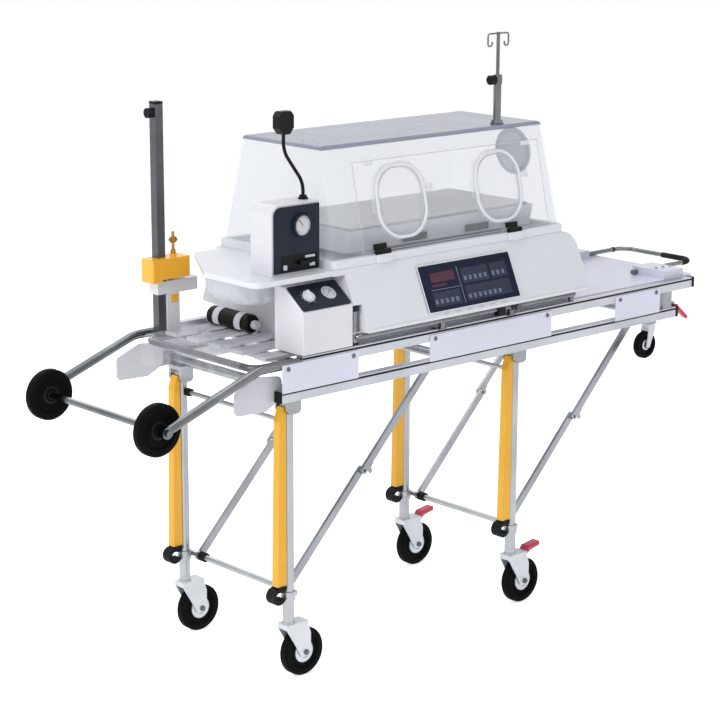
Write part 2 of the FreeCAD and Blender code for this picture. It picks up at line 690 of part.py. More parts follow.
def small_caster():
    body = new_body("small_fork")
    inside = "mini_width/2 + 1"
    plate_top = "low_rail_z - rail_height/2 - seat_gap - 6"
    outline(draw(body, "XZ_Plane"), [
        ("-13", plate_top), ("-13", plate_top + " - 8"), ("mini_trail*-1 - 8", "mini_z - 7"),
        ("mini_trail*-1 + 8", "mini_z - 7"), ("15", plate_top + " - 14"), ("15", plate_top)])
    pad(body, body.Group[-1], "2*(%s + 2.5)" % inside, both=True)
    slot = box_outline(draw(body, "YZ_Plane"), "-(%s)" % inside, "mini_z - 20", inside,
                       "mini_z + mini_d/2 + 2")
    pocket(body, slot, "200")
    axle = circle(draw(body, "XZ_Plane"), "-mini_trail", "mini_z", "3")
    pad(body, axle, "2*(%s + 2.5)" % inside, both=True)
    stem = circle(draw(body, "XY_Plane", plate_top + " - 1"), "0", "0", "5")
    pad(body, stem, "1 + 6")
    node("small_fork", place(body, "rear_x + mini_x", "-rail_y"))
    wheel("small_wheel", "mini_d", "mini_width", "3 + fit_gap",
          "rear_x + mini_x - mini_trail", "-rail_y", "mini_z", inside + " - 0.4")


# Trolley frame
def side_rail(name, start, finish, height):
    """Hollow rail with a shallow groove in its outer face."""
    body = new_body(name)
    profile = draw(body, "YZ_Plane", start)
    out, inn = "rail_out", "rail_in"
    top, low = "%s + rail_height/2" % height, "%s - rail_height/2" % height
    outline(profile, [
        (inn, low), (out, low), (out, top + " - 9"), (out + " - 1.2", top + " - 8"),
        (out + " - 1.2", top + " - 4"), (out, top + " - 3"), (out, top), (inn, top)])
    box_outline(profile, inn + " + rail_wall", low + " + rail_wall",
                out + " - rail_wall", top + " - rail_wall")
    pad(body, profile, "(%s) - (%s)" % (finish, start))
    return body


def rails():
    low = side_rail("low_rail", "front_x - low_rail_front", "rear_x + low_rail_back", "low_rail_z")
    top = side_rail("top_rail", "front_x - top_rail_front", "rear_x + top_rail_back", "top_rail_z")
    both_sides("side_rails", low, top)


def side_plate(name, start, finish):
    body = new_body(name)
    plate = box_outline(draw(body, "XZ_Plane", "rail_out + skin"), start, "low_rail_top - 4",
                        finish, "top_rail_top - 12")
    pad(body, plate, "skin")
    for place_x in ("(%s) + 18" % start, "(%s) - 18" % finish):
        hole = circle(draw(body, "XZ_Plane", "rail_out"), place_x, "top_rail_z - 8", "2.5")
        pocket(body, hole, "4*skin")
    return body


def side_plates():
    first = side_plate("plate_one", "front_x - low_rail_front", "front_x + 193")
    second = side_plate("plate_two", "front_x + 450", "front_x + 921")
    third = side_plate("plate_three", "rear_x + 364", "rear_x + 560")
    both_sides("side_plates", first, second, third)


def cross_tube(name, x, z, reach):
    body = new_body(name)
    profile = circle(draw(body, "XZ_Plane"), x, z, "tube_d/2")
    circle(profile, x, z, "tube_d/2 - rail_wall")
    pad(body, profile, "2*(%s)" % reach, both=True)
    return body


def pivot_shaft(end):
    body = new_body(end + "_pivot_shaft")
    pad(body, circle(draw(body, "XZ_Plane"), "brace_top_x", "low_rail_z", "bar_d/2"),
        "2*rail_in", both=True)
    return place(body, end + "_x")


def frame_tubes():
    """Cross tubes under the slats, under the deck and between the lower rails."""
    low = "low_rail_z"
    slats = "slat_low - tube_d/2"
    deck_tubes = "deck_z - deck_thick - tube_d/2"
    full, short = "rail_in", "rail_in - 4 - 2*seat_gap"
    places = [("front_x", low, short), ("rear_x", low, short),
              ("rear_x + low_rail_back - 36", low, full),
              ("front_x + 4 + seat_gap + tube_d/2", slats, full),
              ("front_x + deck_front - 22", slats, full),
              ("front_x + deck_front + 30", deck_tubes, full),
              ("front_x + 400", deck_tubes, full), ("front_x + 900", deck_tubes, full),
              ("rear_x + 300", deck_tubes, full)]
    tubes = [cross_tube("cross_tube_%d" % index, *place) for index, place in enumerate(places)]
    return tubes + [pivot_shaft("front"), pivot_shaft("rear")]


def leg_bracket(end):
    """Upside-down U over the leg's knuckle, with the hinge pin through both ears."""
    body = new_body(end + "_leg_bracket")
    ear = "leg_r + seat_gap + cover_wall + side_gap"
    roof = "pivot_z + leg_r + 2"
    tube_low = "low_rail_z - tube_d/2"
    foot = "pivot_z - 17"
    outer = "rail_in - leg_y - seat_gap"
    inner = "-(%s) - 5" % ear
    outline(draw(body, "YZ_Plane"), [
        (inner, foot), ("-(%s)" % ear, foot), ("-(%s)" % ear, roof), (ear, roof), (ear, foot),
        (outer, foot), (outer, "low_rail_top"), (outer + " - 4", "low_rail_top"),
        (outer + " - 4", tube_low + " - seat_gap"), (inner, tube_low + " - seat_gap")])
    pad(body, body.Group[-1], "44", both=True)
    smooth(body, "12", lambda edge: runs_along(edge, "y") and near(edge, z=foot))
    pad(body, circle(draw(body, "XZ_Plane", outer), "0", "pivot_z", "pivot_d/2"),
        "(%s) - (%s)" % (outer, inner))
    return place(body, end + "_x", "leg_y")


def rear_bracket():
    """Post between the ends of the two rails."""
    body = new_body("rear_post")
    post = box_outline(draw(body, "XY_Plane", "low_rail_top"), "-20", "rail_in + 3",
                       "20", "rail_out - 3")
    pad(body, post, "top_rail_z - rail_height/2 - low_rail_top")
    smooth(body, "4", lambda edge: runs_along(edge, "z"))
    return place(body, "rear_x + low_rail_back - 34")


def small_caster_mount():
    """Plate under the lower rail with the small caster's stem in its boss."""
    body = new_body("small_caster_mount")
    low = "low_rail_z - rail_height/2 - 6"
    plate = box_outline(draw(body, "XY_Plane", low), "-20", "-rail_width/2", "20", "rail_width/2")
    pad(body, plate, "6")
    pocket(body, circle(draw(body, "XY_Plane", low), "0", "0", "5 + fit_gap"), "40")
    return place(body, "rear_x + mini_x", "-rail_y")


def cross_frame():
    pairs = [leg_bracket("front"), leg_bracket("rear"), rear_bracket()]
    both = [each for piece in pairs for each in (piece, mirrored(piece))]
    node("cross_frame", *frame_tubes(), *both, small_caster_mount(), lever_ear())


def deck():
    body = new_body("deck_panel")
    plate = box_outline(draw(body, "XY_Plane", "deck_z - deck_thick"), "front_x + deck_front",
                        "seat_gap - rail_in", "rear_x + deck_back", "rail_in - seat_gap")
    pad(body, plate, "deck_thick")
    smooth(body, "18", lambda edge: runs_along(edge, "z") and near(edge, x="rear_x + deck_back"))
    start, finish = "rear_x + guide_x", "rear_x + guide_x + guide_length"
    for side in ("", "-"):
        guide = box_outline(draw(body, "XY_Plane", "deck_z"), start,
                            side + "(handle_y - handle_d/2 - 8)", finish, side + "(rail_in - 1)")
        pad(body, guide, "handle_d + 10")
    bores = draw(body, "YZ_Plane", start + " - 1")
    circle(bores, "handle_y", HANDLE_Z, "handle_d/2 + fit_gap")
    circle(bores, "-handle_y", HANDLE_Z, "handle_d/2 + fit_gap")
    pocket(body, bores, "guide_length + 2", both=False, back=True)
    node("deck_panel", body)


def platform():
    """Slats between the front tube and the deck, and the curved tube in front of them."""
    slats = []
    for index in range(-2, 3):
        body = new_body("slat_%d" % (index + 2))
        y = "%d*slat_pitch" % index
        profile = draw(body, "YZ_Plane", "front_x - slat_front")
        box_outline(profile, y + " - slat_width/2", "slat_low", y + " + slat_width/2", "slat_top")
        pad(body, profile, "slat_front + deck_front - seat_gap")
        smooth(body, "2.5", lambda edge: runs_along(edge, "x"))
        slats.append(body)
    tube = new_body("nose_tube")
    level = "slat_low - nose_d/2"
    path = bent_path(draw(tube, "XY_Plane", level), [
        ("front_x + 4", "-mast_y"), ("front_x - nose_reach", "-mast_y"),
        ("front_x - nose_reach", "mast_y"), ("front_x + 4", "mast_y")], ["32", "32"])
    profile = circle(draw(tube, "YZ_Plane", "front_x + 4"), "-mast_y", level, "nose_d/2")
    pipe(tube, profile, path)
    return slats + [tube]


def nose_plates():
    """Grey rounded side plates between the loading arms and the lower rails."""
    body = new_body("nose_plate")
    outline(draw(body, "XZ_Plane", "rail_in - seat_gap"), [
        ("front_x - 194", "low_rail_z - 30"), ("front_x - 94", "low_rail_z - 34"),
        ("front_x - 42", "low_rail_z - 8"), ("front_x - 42", "low_rail_top + 34"),
        ("front_x - 118", "low_rail_top + 44"), ("front_x - 194", "low_rail_top + 14")])
    pad(body, body.Group[-1], "4")
    smooth(body, "14", lambda edge: runs_along(edge, "y"))
    return [body, mirrored(body)]


def loading_arm():
    body = new_body("loading_arm")
    root = "front_x - top_rail_front"
    start = root + " - seat_gap"
    path = bent_path(draw(body, "XZ_Plane", "arm_y"), [
        (start, "top_rail_z"), ("front_x - arm_elbow", "top_rail_z"),
        ("front_x - loader_reach", "loader_z")], ["arm_bend"])
    profile = circle(draw(body, "YZ_Plane", start), "arm_y", "top_rail_z", "arm_d/2")
    pipe(body, profile, path)
    pad(body, circle(draw(body, "XZ_Plane", "arm_y"), "front_x - loader_reach", "loader_z",
                     "arm_d/2 + 3"), "arm_d - 2", both=True)
    spigot = circle(draw(body, "YZ_Plane", root + " - 2"), "arm_y", "top_rail_z",
                    "rail_width/2 - rail_wall - 0.6")
    pad(body, spigot, "46")
    hole = circle(draw(body, "XZ_Plane", "arm_y"), "front_x - loader_reach", "loader_z",
                  "loader_axle_d/2 + fit_gap")
    pocket(body, hole, "2*arm_d")
    return body


def loading_axle():
    """Stepped axle: a thick bar between the wheels, thin ends through wheels and arms."""
    body = new_body("loading_axle")
    thick = "loader_y - loader_width/2 - side_gap"
    thin = "arm_y + arm_d/2"
    nut = thin + " + 7"
    outline(draw(body, "YZ_Plane"), [
        ("-(%s)" % nut, "0"), (nut, "0"), (nut, "9"), (thin, "9"), (thin, "loader_axle_d/2"),
        (thick, "loader_axle_d/2"), (thick, "9"), ("-(%s)" % thick, "9"),
        ("-(%s)" % thick, "loader_axle_d/2"), ("-(%s)" % thin, "loader_axle_d/2"),
        ("-(%s)" % thin, "9"), ("-(%s)" % nut, "9")])
    turn(body, body.Group[-1], "H_Axis")
    return place(body, "front_x - loader_reach", "0", "loader_z")


def loading_frame():
    arm = loading_arm()
    node("loading_arms", arm, mirrored(arm), loading_axle())
    for hand, side in (("left", "-"), ("right", "")):
        wheel(hand + "_loading_wheel", "loader_d", "loader_width", "loader_axle_d/2 + fit_gap",
              "front_x - loader_reach", side + "loader_y", "loader_z", "loader_width/2 - 0.5")


def grab_rail():
    """Side rail of bent tube under the base's edge, with posts and two clamps."""
    body = new_body("grab_rail")
    start, finish = "front_x + grab_x", "front_x + grab_x + grab_length"
    path = bent_path(draw(body, "XY_Plane", "grab_z"), [
        (start, "-rail_y"), (start, "-grab_y"), (finish, "-grab_y"), (finish, "-rail_y")],
        ["15", "15"])
    profile = circle(draw(body, "XZ_Plane", "-rail_y"), start, "grab_z", "grab_d/2")
    pipe(body, profile, path)
    tall = circle(draw(body, "XY_Plane", "top_rail_top"), start, "-rail_y", "post_d/2")
    pad(body, tall, "post_top_z - top_rail_top")
    short = circle(draw(body, "XY_Plane", "top_rail_top"), finish, "-rail_y", "8")
    pad(body, short, "grab_z + 3 - top_rail_top")
    for step in ("0.36", "0.68"):
        spot = "(%s) + grab_length*%s" % (start, step)
        clamp = box_outline(draw(body, "YZ_Plane", spot), "-grab_y - grab_d/2", "top_rail_top",
                            "-rail_y + 6", "top_rail_top + 4")
        pad(body, clamp, "26", both=True)
        stem = box_outline(draw(body, "YZ_Plane", spot), "-grab_y - 5", "top_rail_top",
                           "-grab_y + 5", "grab_z")
        pad(body, stem, "16", both=True)
    node("grab_rail", body)


def rear_handle():
    """Pull-out loop at the rear end of the deck, in two guides."""
    body = new_body("rear_handle")
    end = "rear_x + handle_reach - handle_d/2"
    start = "rear_x + guide_x - 20"
    path = bent_path(draw(body, "XY_Plane", HANDLE_Z), [
        (start, "-handle_y"), (end, "-handle_y"), (end, "handle_y"), (start, "handle_y")],
        ["42", "42"])
    profile = circle(draw(body, "YZ_Plane", start), "-handle_y", HANDLE_Z, "handle_d/2")
    pipe(body, profile, path)
    node("rear_handle", body)


def release_lever():
    """Red lever at the end of the lower rail."""
    body = new_body("release_lever")
    pad(body, circle(draw(body, "XZ_Plane"), "0", "0", "7"), "14", both=True)
    arm = outline(draw(body, "XZ_Plane"), [
        ("-2", "-6"), ("40", "-40"), ("52", "-46"), ("56", "-38"), ("46", "-30"), ("4", "6")])
    pad(body, arm, "10", both=True)
    pocket(body, circle(draw(body, "XZ_Plane"), "0", "0", "3 + fit_gap"), "40")
    node("release_lever", place(body, "rear_x + low_rail_back + 12", "-rail_y", "low_rail_z + 14"))


def lever_ear():
    """Small bracket on the rail's end that carries the release lever."""
    body = new_body("lever_ear")
    ear = box_outline(draw(body, "XZ_Plane", "-rail_in"), "rear_x + low_rail_back - 14",
                      "low_rail_top", "rear_x + low_rail_back + 20", "low_rail_top + 12")
    pad(body, ear, "2.5")
    peg = circle(draw(body, "XZ_Plane", "-rail_in"), "rear_x + low_rail_back + 12",
                 "low_rail_z + 14", "3")
    pad(body, peg, "24")
    return body


# Incubator base
def base_housing():
    """Hollow moulding on a plinth, with a sloping screen side and a shelf at its left end."""
    body = new_body("base_housing")
    high = "base_top_z"
    profile = draw(body, "YZ_Plane", "front_x + base_x")
    half = [("base_under_y", "base_seat"), ("base_under_y", "base_edge_z - 3"),
            ("base_foot_y", "base_edge_z"), ("base_foot_y", "face_foot_z"), ("base_top_y", high)]
    outline(profile, half + [("-%s" % y, z) for y, z in reversed(half)])
    pad(body, profile, "base_length")
    smooth(body, "base_round", lambda edge: runs_along(edge, "y")
           and near(edge, x="front_x + base_x + base_length", z=high))
    hollow_x = "grab_x + post_d/2 + 6 + base_wall"
    hollow = draw(body, "YZ_Plane", "front_x + " + hollow_x)
    inner = [("base_under_y - base_wall", "base_seat - 1"),
             ("base_under_y - base_wall", "base_edge_z + base_wall"),
             ("base_foot_y - base_wall", "base_edge_z + base_wall"),
             ("base_foot_y - base_wall", "face_foot_z"),
             ("base_top_y - base_wall*1.3", high + " - base_wall")]
    outline(hollow, inner + [("-(%s)" % y, z) for y, z in reversed(inner)])
    pocket(body, hollow, "base_x + base_length - base_round - base_wall - (%s)" % hollow_x,
           both=False, back=True)
    shelf = outline(draw(body, "XY_Plane", "wing_z"), [
        ("front_x + base_x + 8", "-base_top_y"), ("front_x - wing_reach", "-base_top_y"),
        ("front_x - wing_reach", "-wing_near_y"), ("front_x + wing_tip_x", "wing_tip_y"),
        ("front_x + base_x + 8", "wing_tip_y")])
    pad(body, shelf, "wing_thick")
    smooth(body, "24", lambda edge: runs_along(edge, "z") and near(edge, x="front_x - wing_reach"))
    corner_recess(body)
    node("base_housing", body)


def corner_recess(body):
    """Room in the base's near left corner for the control box and for the tall post."""
    room = box_outline(draw(body, "XY_Plane", "wing_z"), "front_x + base_x - 1", "-base_foot_y - 1",
                       "front_x + box_x + box_width + 2.5", "box_depth - box_y + 6")
    pocket(body, room, "wing_z - deck_z + 10", both=False)
    post_top = "post_top_z + 17"
    post = box_outline(draw(body, "XY_Plane", post_top), "front_x + grab_x - post_d/2 - 5",
                       "-base_foot_y - 1", "front_x + grab_x + post_d/2 + 6",
                       "post_d/2 + 6 - rail_y")
    pocket(body, post, post_top + " - deck_z + 10", both=False)


def control_screen():
    body = new_body("control_screen")
    plate = box_outline(draw(body, "XZ_Plane"), "0", "screen_rise",
                        "screen_width", "screen_rise + screen_height")
    pad(body, plate, "4")
    smooth(body, "5", lambda edge: runs_along(edge, "y"))
    lip = box_outline(draw(body, "XZ_Plane", "-4"), "9", "screen_rise + 9",
                      "screen_width - 9", "screen_rise + screen_height - 9")
    pocket(body, lip, "2")
    node("control_screen", place(body, "front_x + screen_x", "-base_foot_y - seat_gap",
                                 "face_foot_z", (1, 0, 0), "-face_slope"))


# Hood
def hinge_spots():
    return ["door_x + 31", "door_x + door_length - 129 - hinge_width"]


def slanted(body, x="front_x", y="-hood_y", z="shell_z"):
    """Stand a piece in the plane of the hood's long wall on the screen side."""
    return place(body, x, y, z, (1, 0, 0), "-wall_slope")


def hood_block(body, inset, kind):
    """Loft between the hood's foot and its rim, moved inwards by the inset."""
    low = draw(body, "XY_Plane", "shell_z")
    box_outline(low, "front_x + hood_x + %s" % inset, "-hood_y + %s" % inset,
                "front_x + hood_x + hood_length - %s" % inset, "hood_y - %s" % inset)
    high = draw(body, "XY_Plane", "hood_rim_z")
    box_outline(high, "front_x + hood_x + hood_lean_x + %s" % inset,
                "-hood_y + hood_lean_y + %s" % inset,
                "front_x + hood_x + hood_length - hood_lean_x - %s" % inset,
                "hood_y - hood_lean_y - %s" % inset)
    return loft(body, low, high, kind)


def hood():
    """Clear walls on the foot frame, open above and below, with a door and an end opening."""
    body = new_body("hood_walls")
    hood_block(body, "0", "PartDesign::AdditiveLoft")
    hood_block(body, "hood_wall", "PartDesign::SubtractiveLoft")
    foot = box_outline(draw(body, "XY_Plane", "walls_z"), "front_x", "-hood_y - 9",
                       "front_x + 2*hood_length", "hood_y + 9")
    pocket(body, foot, "frame_height + 9", both=False)
    cut = new_body("door_opening")
    hole = box_outline(draw(cut, "XZ_Plane"), "door_x - door_gap", "door_rise - door_gap",
                       "door_x + door_length + door_gap", "door_rise + door_height + door_gap")
    pad(cut, hole, "60", both=True)
    slanted(cut)
    iris_cut = new_body("iris_opening")
    pad(iris_cut, circle(draw(iris_cut, "YZ_Plane"), "0", "0", "iris_d/2"), "60", both=True)
    place(iris_cut, "front_x + hood_x + hood_length - hood_lean_x", "-iris_y", "iris_z")
    tools = doc.addObject("Part::Compound", "hood_openings")
    tools.Links = [cut, iris_cut]
    shell = doc.addObject("Part::Cut", "hood_shell")
    shell.Base = body
    shell.Tool = tools
    node("hood", shell)


def hood_frame():
    """White frame that the clear walls stand in, with the blocks of the door hinges."""
    body = new_body("hood_frame")
    out, inn = "frame_out", "(hood_wall + 9)"
    ring = draw(body, "XY_Plane", "shell_z")
    for reach in (out, "-" + inn):
        box_outline(ring, "front_x + hood_x - (%s)" % reach, "-hood_y - (%s)" % reach,
                    "front_x + hood_x + hood_length + (%s)" % reach, "hood_y + (%s)" % reach)
    pad(body, ring, "frame_height")
    smooth(body, "12", lambda edge: runs_along(edge, "z")
           and abs(abs(edge.CenterOfMass.y) - number("hood_y + frame_out")) < 0.1)
    for spot in hinge_spots():
        block = box_outline(draw(body, "XZ_Plane", "-hood_y - frame_out + 1"), "front_x + " + spot,
                            "shell_z + 2", "front_x + %s + hinge_width" % spot,
                            "shell_z + frame_height + 1.6")
        pad(body, block, "12")
    for spot in ("hood_length*0.2", "hood_length*0.74"):
        barrel = circle(draw(body, "YZ_Plane", "front_x + hood_x + " + spot),
                        "hood_y + frame_out + 4", "shell_z + 6", "5")
        pad(body, barrel, "56")
    node("hood_frame", body)


def hood_roof():
    """Tinted lid on the clear walls, with sloping sides."""
    body = new_body("hood_roof")
    rim = "hood_rim_z + seat_gap"

    def lid(inset, foot, head, kind):
        low = draw(body, "XY_Plane", foot)
        box_outline(low, "front_x + hood_x + hood_lean_x + %s" % inset,
                    "-hood_y + hood_lean_y + %s" % inset,
                    "front_x + hood_x + hood_length - hood_lean_x - %s" % inset,
                    "hood_y - hood_lean_y - %s" % inset)
        high = draw(body, "XY_Plane", head)
        box_outline(high, "front_x + hood_x + hood_lean_x + roof_in_x + %s" % inset,
                    "-hood_y + hood_lean_y + roof_in_y + %s" % inset,
                    "front_x + hood_x + hood_length - hood_lean_x - roof_in_x - %s" % inset,
                    "hood_y - hood_lean_y - roof_in_y - %s" % inset)
        loft(body, low, high, kind)

    lid("0", rim, "roof_z", "PartDesign::AdditiveLoft")
    lid("hood_wall", rim, "roof_z - hood_wall", "PartDesign::SubtractiveLoft")
    smooth(body, "6", lambda edge: near(edge, z="roof_z") and edge.CenterOfMass.z > number("roof_z - 0.1"))
    node("hood_roof", body)


def oval(sketch, centre, half_width, half_height):
    return box_outline(sketch, "(%s) - %s" % (centre, half_width), "port_up - %s" % half_height,
                       "(%s) + %s" % (centre, half_width), "port_up + %s" % half_height)


def access_door():
    """Clear panel in the long wall, hinged at its lower edge, with two oval ports."""
    body = new_body("access_door")
    panel = box_outline(draw(body, "XZ_Plane", "hood_wall"), "door_x", "door_rise",
                        "door_x + door_length", "door_rise + door_height")
    pad(body, panel, "hood_wall")
    for step in ("0", "port_pitch"):
        centre = "port_x + " + step
        hole = oval(draw(body, "XZ_Plane"), centre, "port_width/2", "port_height/2")
        pocket(body, hole, "6*hood_wall")
        smooth(body, "port_width*0.46", lambda edge: runs_along(edge, "y")
               and abs(edge.CenterOfMass.x - number(centre)) < number("port_width/2 + 1"))
    for spot in hinge_spots():
        strap = box_outline(draw(body, "XZ_Plane"), spot, "door_rise", spot + " + hinge_width",
                            "door_rise + 6")
        pad(body, strap, "hinge_out")
        barrel = circle(draw(body, "YZ_Plane", spot), "-hinge_out", "door_rise - hinge_low", "hinge_d/2")
        pad(body, barrel, "hinge_width")
    return node("access_door", slanted(body))


def port_cover(name, step):
    """Oval cover over a hand port, with a hinge strip and a latch tab."""
    body = new_body(name)
    centre = "port_x + " + step
    oval(draw(body, "XZ_Plane", "-seat_gap"), centre, "(port_width/2 + port_lip)",
         "(port_height/2 + port_lip)")
    pad(body, body.Group[-1], "port_plate")
    smooth(body, "port_width*0.46", lambda edge: runs_along(edge, "y"))
    rim = oval(draw(body, "XZ_Plane", "-seat_gap - port_plate"), centre, "(port_width/2 - 4)",
               "(port_height/2 - 4)")
    pocket(body, rim, "2*(port_plate - 2)")
    tab = box_outline(draw(body, "XZ_Plane", "-seat_gap"), centre + " + port_width/2",
                      "port_up + 12", centre + " + port_width/2 + port_lip + 22", "port_up + 34")
    pad(body, tab, "port_plate + 6")
    ear = box_outline(draw(body, "XZ_Plane", "-seat_gap"), centre + " - port_width/2 - port_lip - 8",
                      "port_up - 26", centre + " - port_width/2", "port_up + 26")
    pad(body, ear, "port_plate + 3")
    barrel = circle(draw(body, "XY_Plane", "port_up - 26"), centre + " - port_width/2 - port_lip - 7",
                    "-seat_gap - 6", "3.5")
    pad(body, barrel, "52")
    return node(name, slanted(body))


def iris_port():
    """Ring with a closing sleeve and a centre knob, on the right end wall."""
    body = new_body("iris_port")
    ring = circle(draw(body, "YZ_Plane", "seat_gap"), "0", "0", "iris_d/2 + iris_rim")
    pad(body, ring, "7")
    smooth(body, "3", lambda edge: isinstance(edge.Curve, Part.Circle)
           and edge.CenterOfMass.x > number("seat_gap + 6.5"))
    dish = circle(draw(body, "YZ_Plane", "seat_gap + 7"), "0", "0", "iris_d/2 - 3")
    pocket(body, dish, "8")
    knob = circle(draw(body, "YZ_Plane", "seat_gap + 2"), "0", "0", "17")
    pad(body, knob, "12")
    middle_x = "front_x + hood_x + hood_length - hood_lean_x*(iris_z - shell_z)/(hood_rim_z - shell_z)"
    return node("iris_port", place(body, middle_x, "-iris_y", "iris_z", (0, 1, 0), "-end_slope"))


def bed():
    tray = new_body("mattress_tray")
    low = "shell_z + tray_foot"
    outline(draw(tray, "YZ_Plane", "front_x + tray_x"), [
        ("-tray_y + 14", low), ("tray_y - 14", low), ("tray_y", low + " + tray_height"),
        ("-tray_y", low + " + tray_height")])
    pad(tray, tray.Group[-1], "tray_length")
    inside = box_outline(draw(tray, "XY_Plane", low + " + tray_height"), "front_x + tray_x + 6",
                         "-tray_y + 8", "front_x + tray_x + tray_length - 6", "tray_y - 8")
    pocket(tray, inside, "16", both=False)
    for spot in ("60", "tray_length - 100"):
        foot = box_outline(draw(tray, "XY_Plane", "shell_z - seat_gap"), "front_x + tray_x + %s" % spot,
                           "-tray_y + 22", "front_x + tray_x + %s + 40" % spot, "tray_y - 22")
        pad(tray, foot, "tray_foot + seat_gap + 1")
    for spot in ("tray_length*0.28", "tray_length*0.62"):
        slot = box_outline(draw(tray, "XZ_Plane", "-tray_y"), "front_x + tray_x + %s" % spot,
                           low + " + 7", "front_x + tray_x + %s + 90" % spot, low + " + 15")
        pocket(tray, slot, "24")
    node("mattress_tray", tray)
    pad_body = new_body("mattress")
    bed_z = low + " + tray_height - 16 + seat_gap"
    soft = box_outline(draw(pad_body, "XY_Plane", bed_z), "front_x + tray_x + 8", "-tray_y + 10",
                       "front_x + tray_x + tray_length - 8", "tray_y - 10")
    pad(pad_body, soft, "mattress_thick")
    smooth(pad_body, "9", lambda edge: runs_along(edge, "z"))
    node("mattress", pad_body)


# Cabinets, lamp and poles at the left end
def gas_cabinet():
    body = new_body("gas_cabinet")
    face = box_outline(draw(body, "XZ_Plane", "-cabinet_y + cabinet_depth"), "front_x + cabinet_x",
                       "shell_z", "front_x + cabinet_x + cabinet_width", "cabinet_top")
    pad(body, face, "cabinet_depth")
    smooth(body, "26", lambda edge: runs_along(edge, "y")
           and near(edge, x="front_x + cabinet_x", z="cabinet_top"))
    smooth(body, "6", lambda edge: runs_along(edge, "z") and near(edge, y="-cabinet_y + cabinet_depth"))
    node("gas_cabinet", body)


def dark_fittings():
    """Dark front of the cabinet, dark panel of the box and the cap of the tall post."""
    front = new_body("cabinet_front")
    face = box_outline(draw(front, "XZ_Plane", "-cabinet_y"), "front_x + cabinet_x + 6", "shell_z + 6",
                       "front_x + cabinet_x + cabinet_width - 2", "cabinet_top - 5")
    pad(front, face, "cabinet_face")
    smooth(front, "22", lambda edge: runs_along(edge, "y")
           and near(edge, x="front_x + cabinet_x + 6", z="cabinet_top - 5"))
    ring = circle(draw(front, "XZ_Plane", "-cabinet_y - cabinet_face + 1"), "front_x + cabinet_x + 95",
                  "shell_z + 122", "30")
    pad(front, ring, "9")
    dish = circle(draw(front, "XZ_Plane", "-cabinet_y - cabinet_face - 8"), "front_x + cabinet_x + 95",
                  "shell_z + 122", "26")
    pocket(front, dish, "8")
    recess = box_outline(draw(front, "XZ_Plane", "-cabinet_y - cabinet_face"),
                         "front_x + cabinet_x + 27", "shell_z + 10",
                         "front_x + cabinet_x + cabinet_width - 9", "shell_z + 50")
    pocket(front, recess, "5")
    panel = new_body("box_panel")
    plate = box_outline(draw(panel, "XZ_Plane"), "3", "3", "box_width - 3",
                        "sqrt(box_slope_y^2 + (box_top_z - box_edge_z)^2) - 3")
    pad(panel, plate, "3")
    smooth(panel, "5", lambda edge: runs_along(edge, "y"))
    place(panel, "front_x + box_x", "-box_y", "box_edge_z", (1, 0, 0), "-panel_slope")
    cap = new_body("post_cap")
    pad(cap, circle(draw(cap, "XY_Plane", "post_top_z + seat_gap"), "0", "0", "post_d/2 + 3"), "13")
    smooth(cap, "3", lambda edge: edge.CenterOfMass.z > number("post_top_z + seat_gap + 12"))
    place(cap, "front_x + grab_x", "-rail_y")
    node("dark_fittings", front, panel, cap)


def gas_lever():
    body = new_body("gas_lever")
    pad(body, circle(draw(body, "XZ_Plane"), "0", "0", "6"), "12")
    arm = box_outline(draw(body, "XZ_Plane", "-6"), "0", "-3.5", "32", "3.5")
    pad(body, arm, "6")
    smooth(body, "3", lambda edge: runs_along(edge, "y") and near(edge, x="32"))
    node("gas_lever", place(body, "front_x + cabinet_x + 90", "-cabinet_y - cabinet_face + 2",
                            "shell_z + 28"))


def control_box():
    body = new_body("control_box")
    profile = draw(body, "YZ_Plane", "front_x + box_x")
    outline(profile, [
        ("-box_y", "base_seat"), ("-box_y", "box_edge_z"),
        ("box_slope_y - box_y", "box_top_z"), ("box_depth - box_y", "box_top_z"),
        ("box_depth - box_y", "base_seat")])
    pad(body, profile, "box_width")
    smooth(body, "3", lambda edge: not runs_along(edge, "x") and near(edge, x="front_x + box_x")
           and edge.CenterOfMass.z > number("box_edge_z - 70"))
    node("control_box", body)


def control_dial():
    """Dial on the sloping panel, with a raised grip."""
    body = new_body("control_dial")
    pad(body, circle(draw(body, "XZ_Plane", "-3 - seat_gap"), "0", "0", "dial_d/2"), "6")
    grip = box_outline(draw(body, "XZ_Plane", "-8"), "-3", "4 - dial_d/2", "3", "dial_d/2 - 4")
    pad(body, grip, "9")
    up = "sqrt(box_slope_y^2 + (box_top_z - box_edge_z)^2)/2"
    node("control_dial", place(body, "front_x + box_x + 46",
                               "-box_y + (%s)*sin(panel_slope)" % up,
                               "box_edge_z + (%s)*cos(panel_slope)" % up, (1, 0, 0), "-panel_slope"))


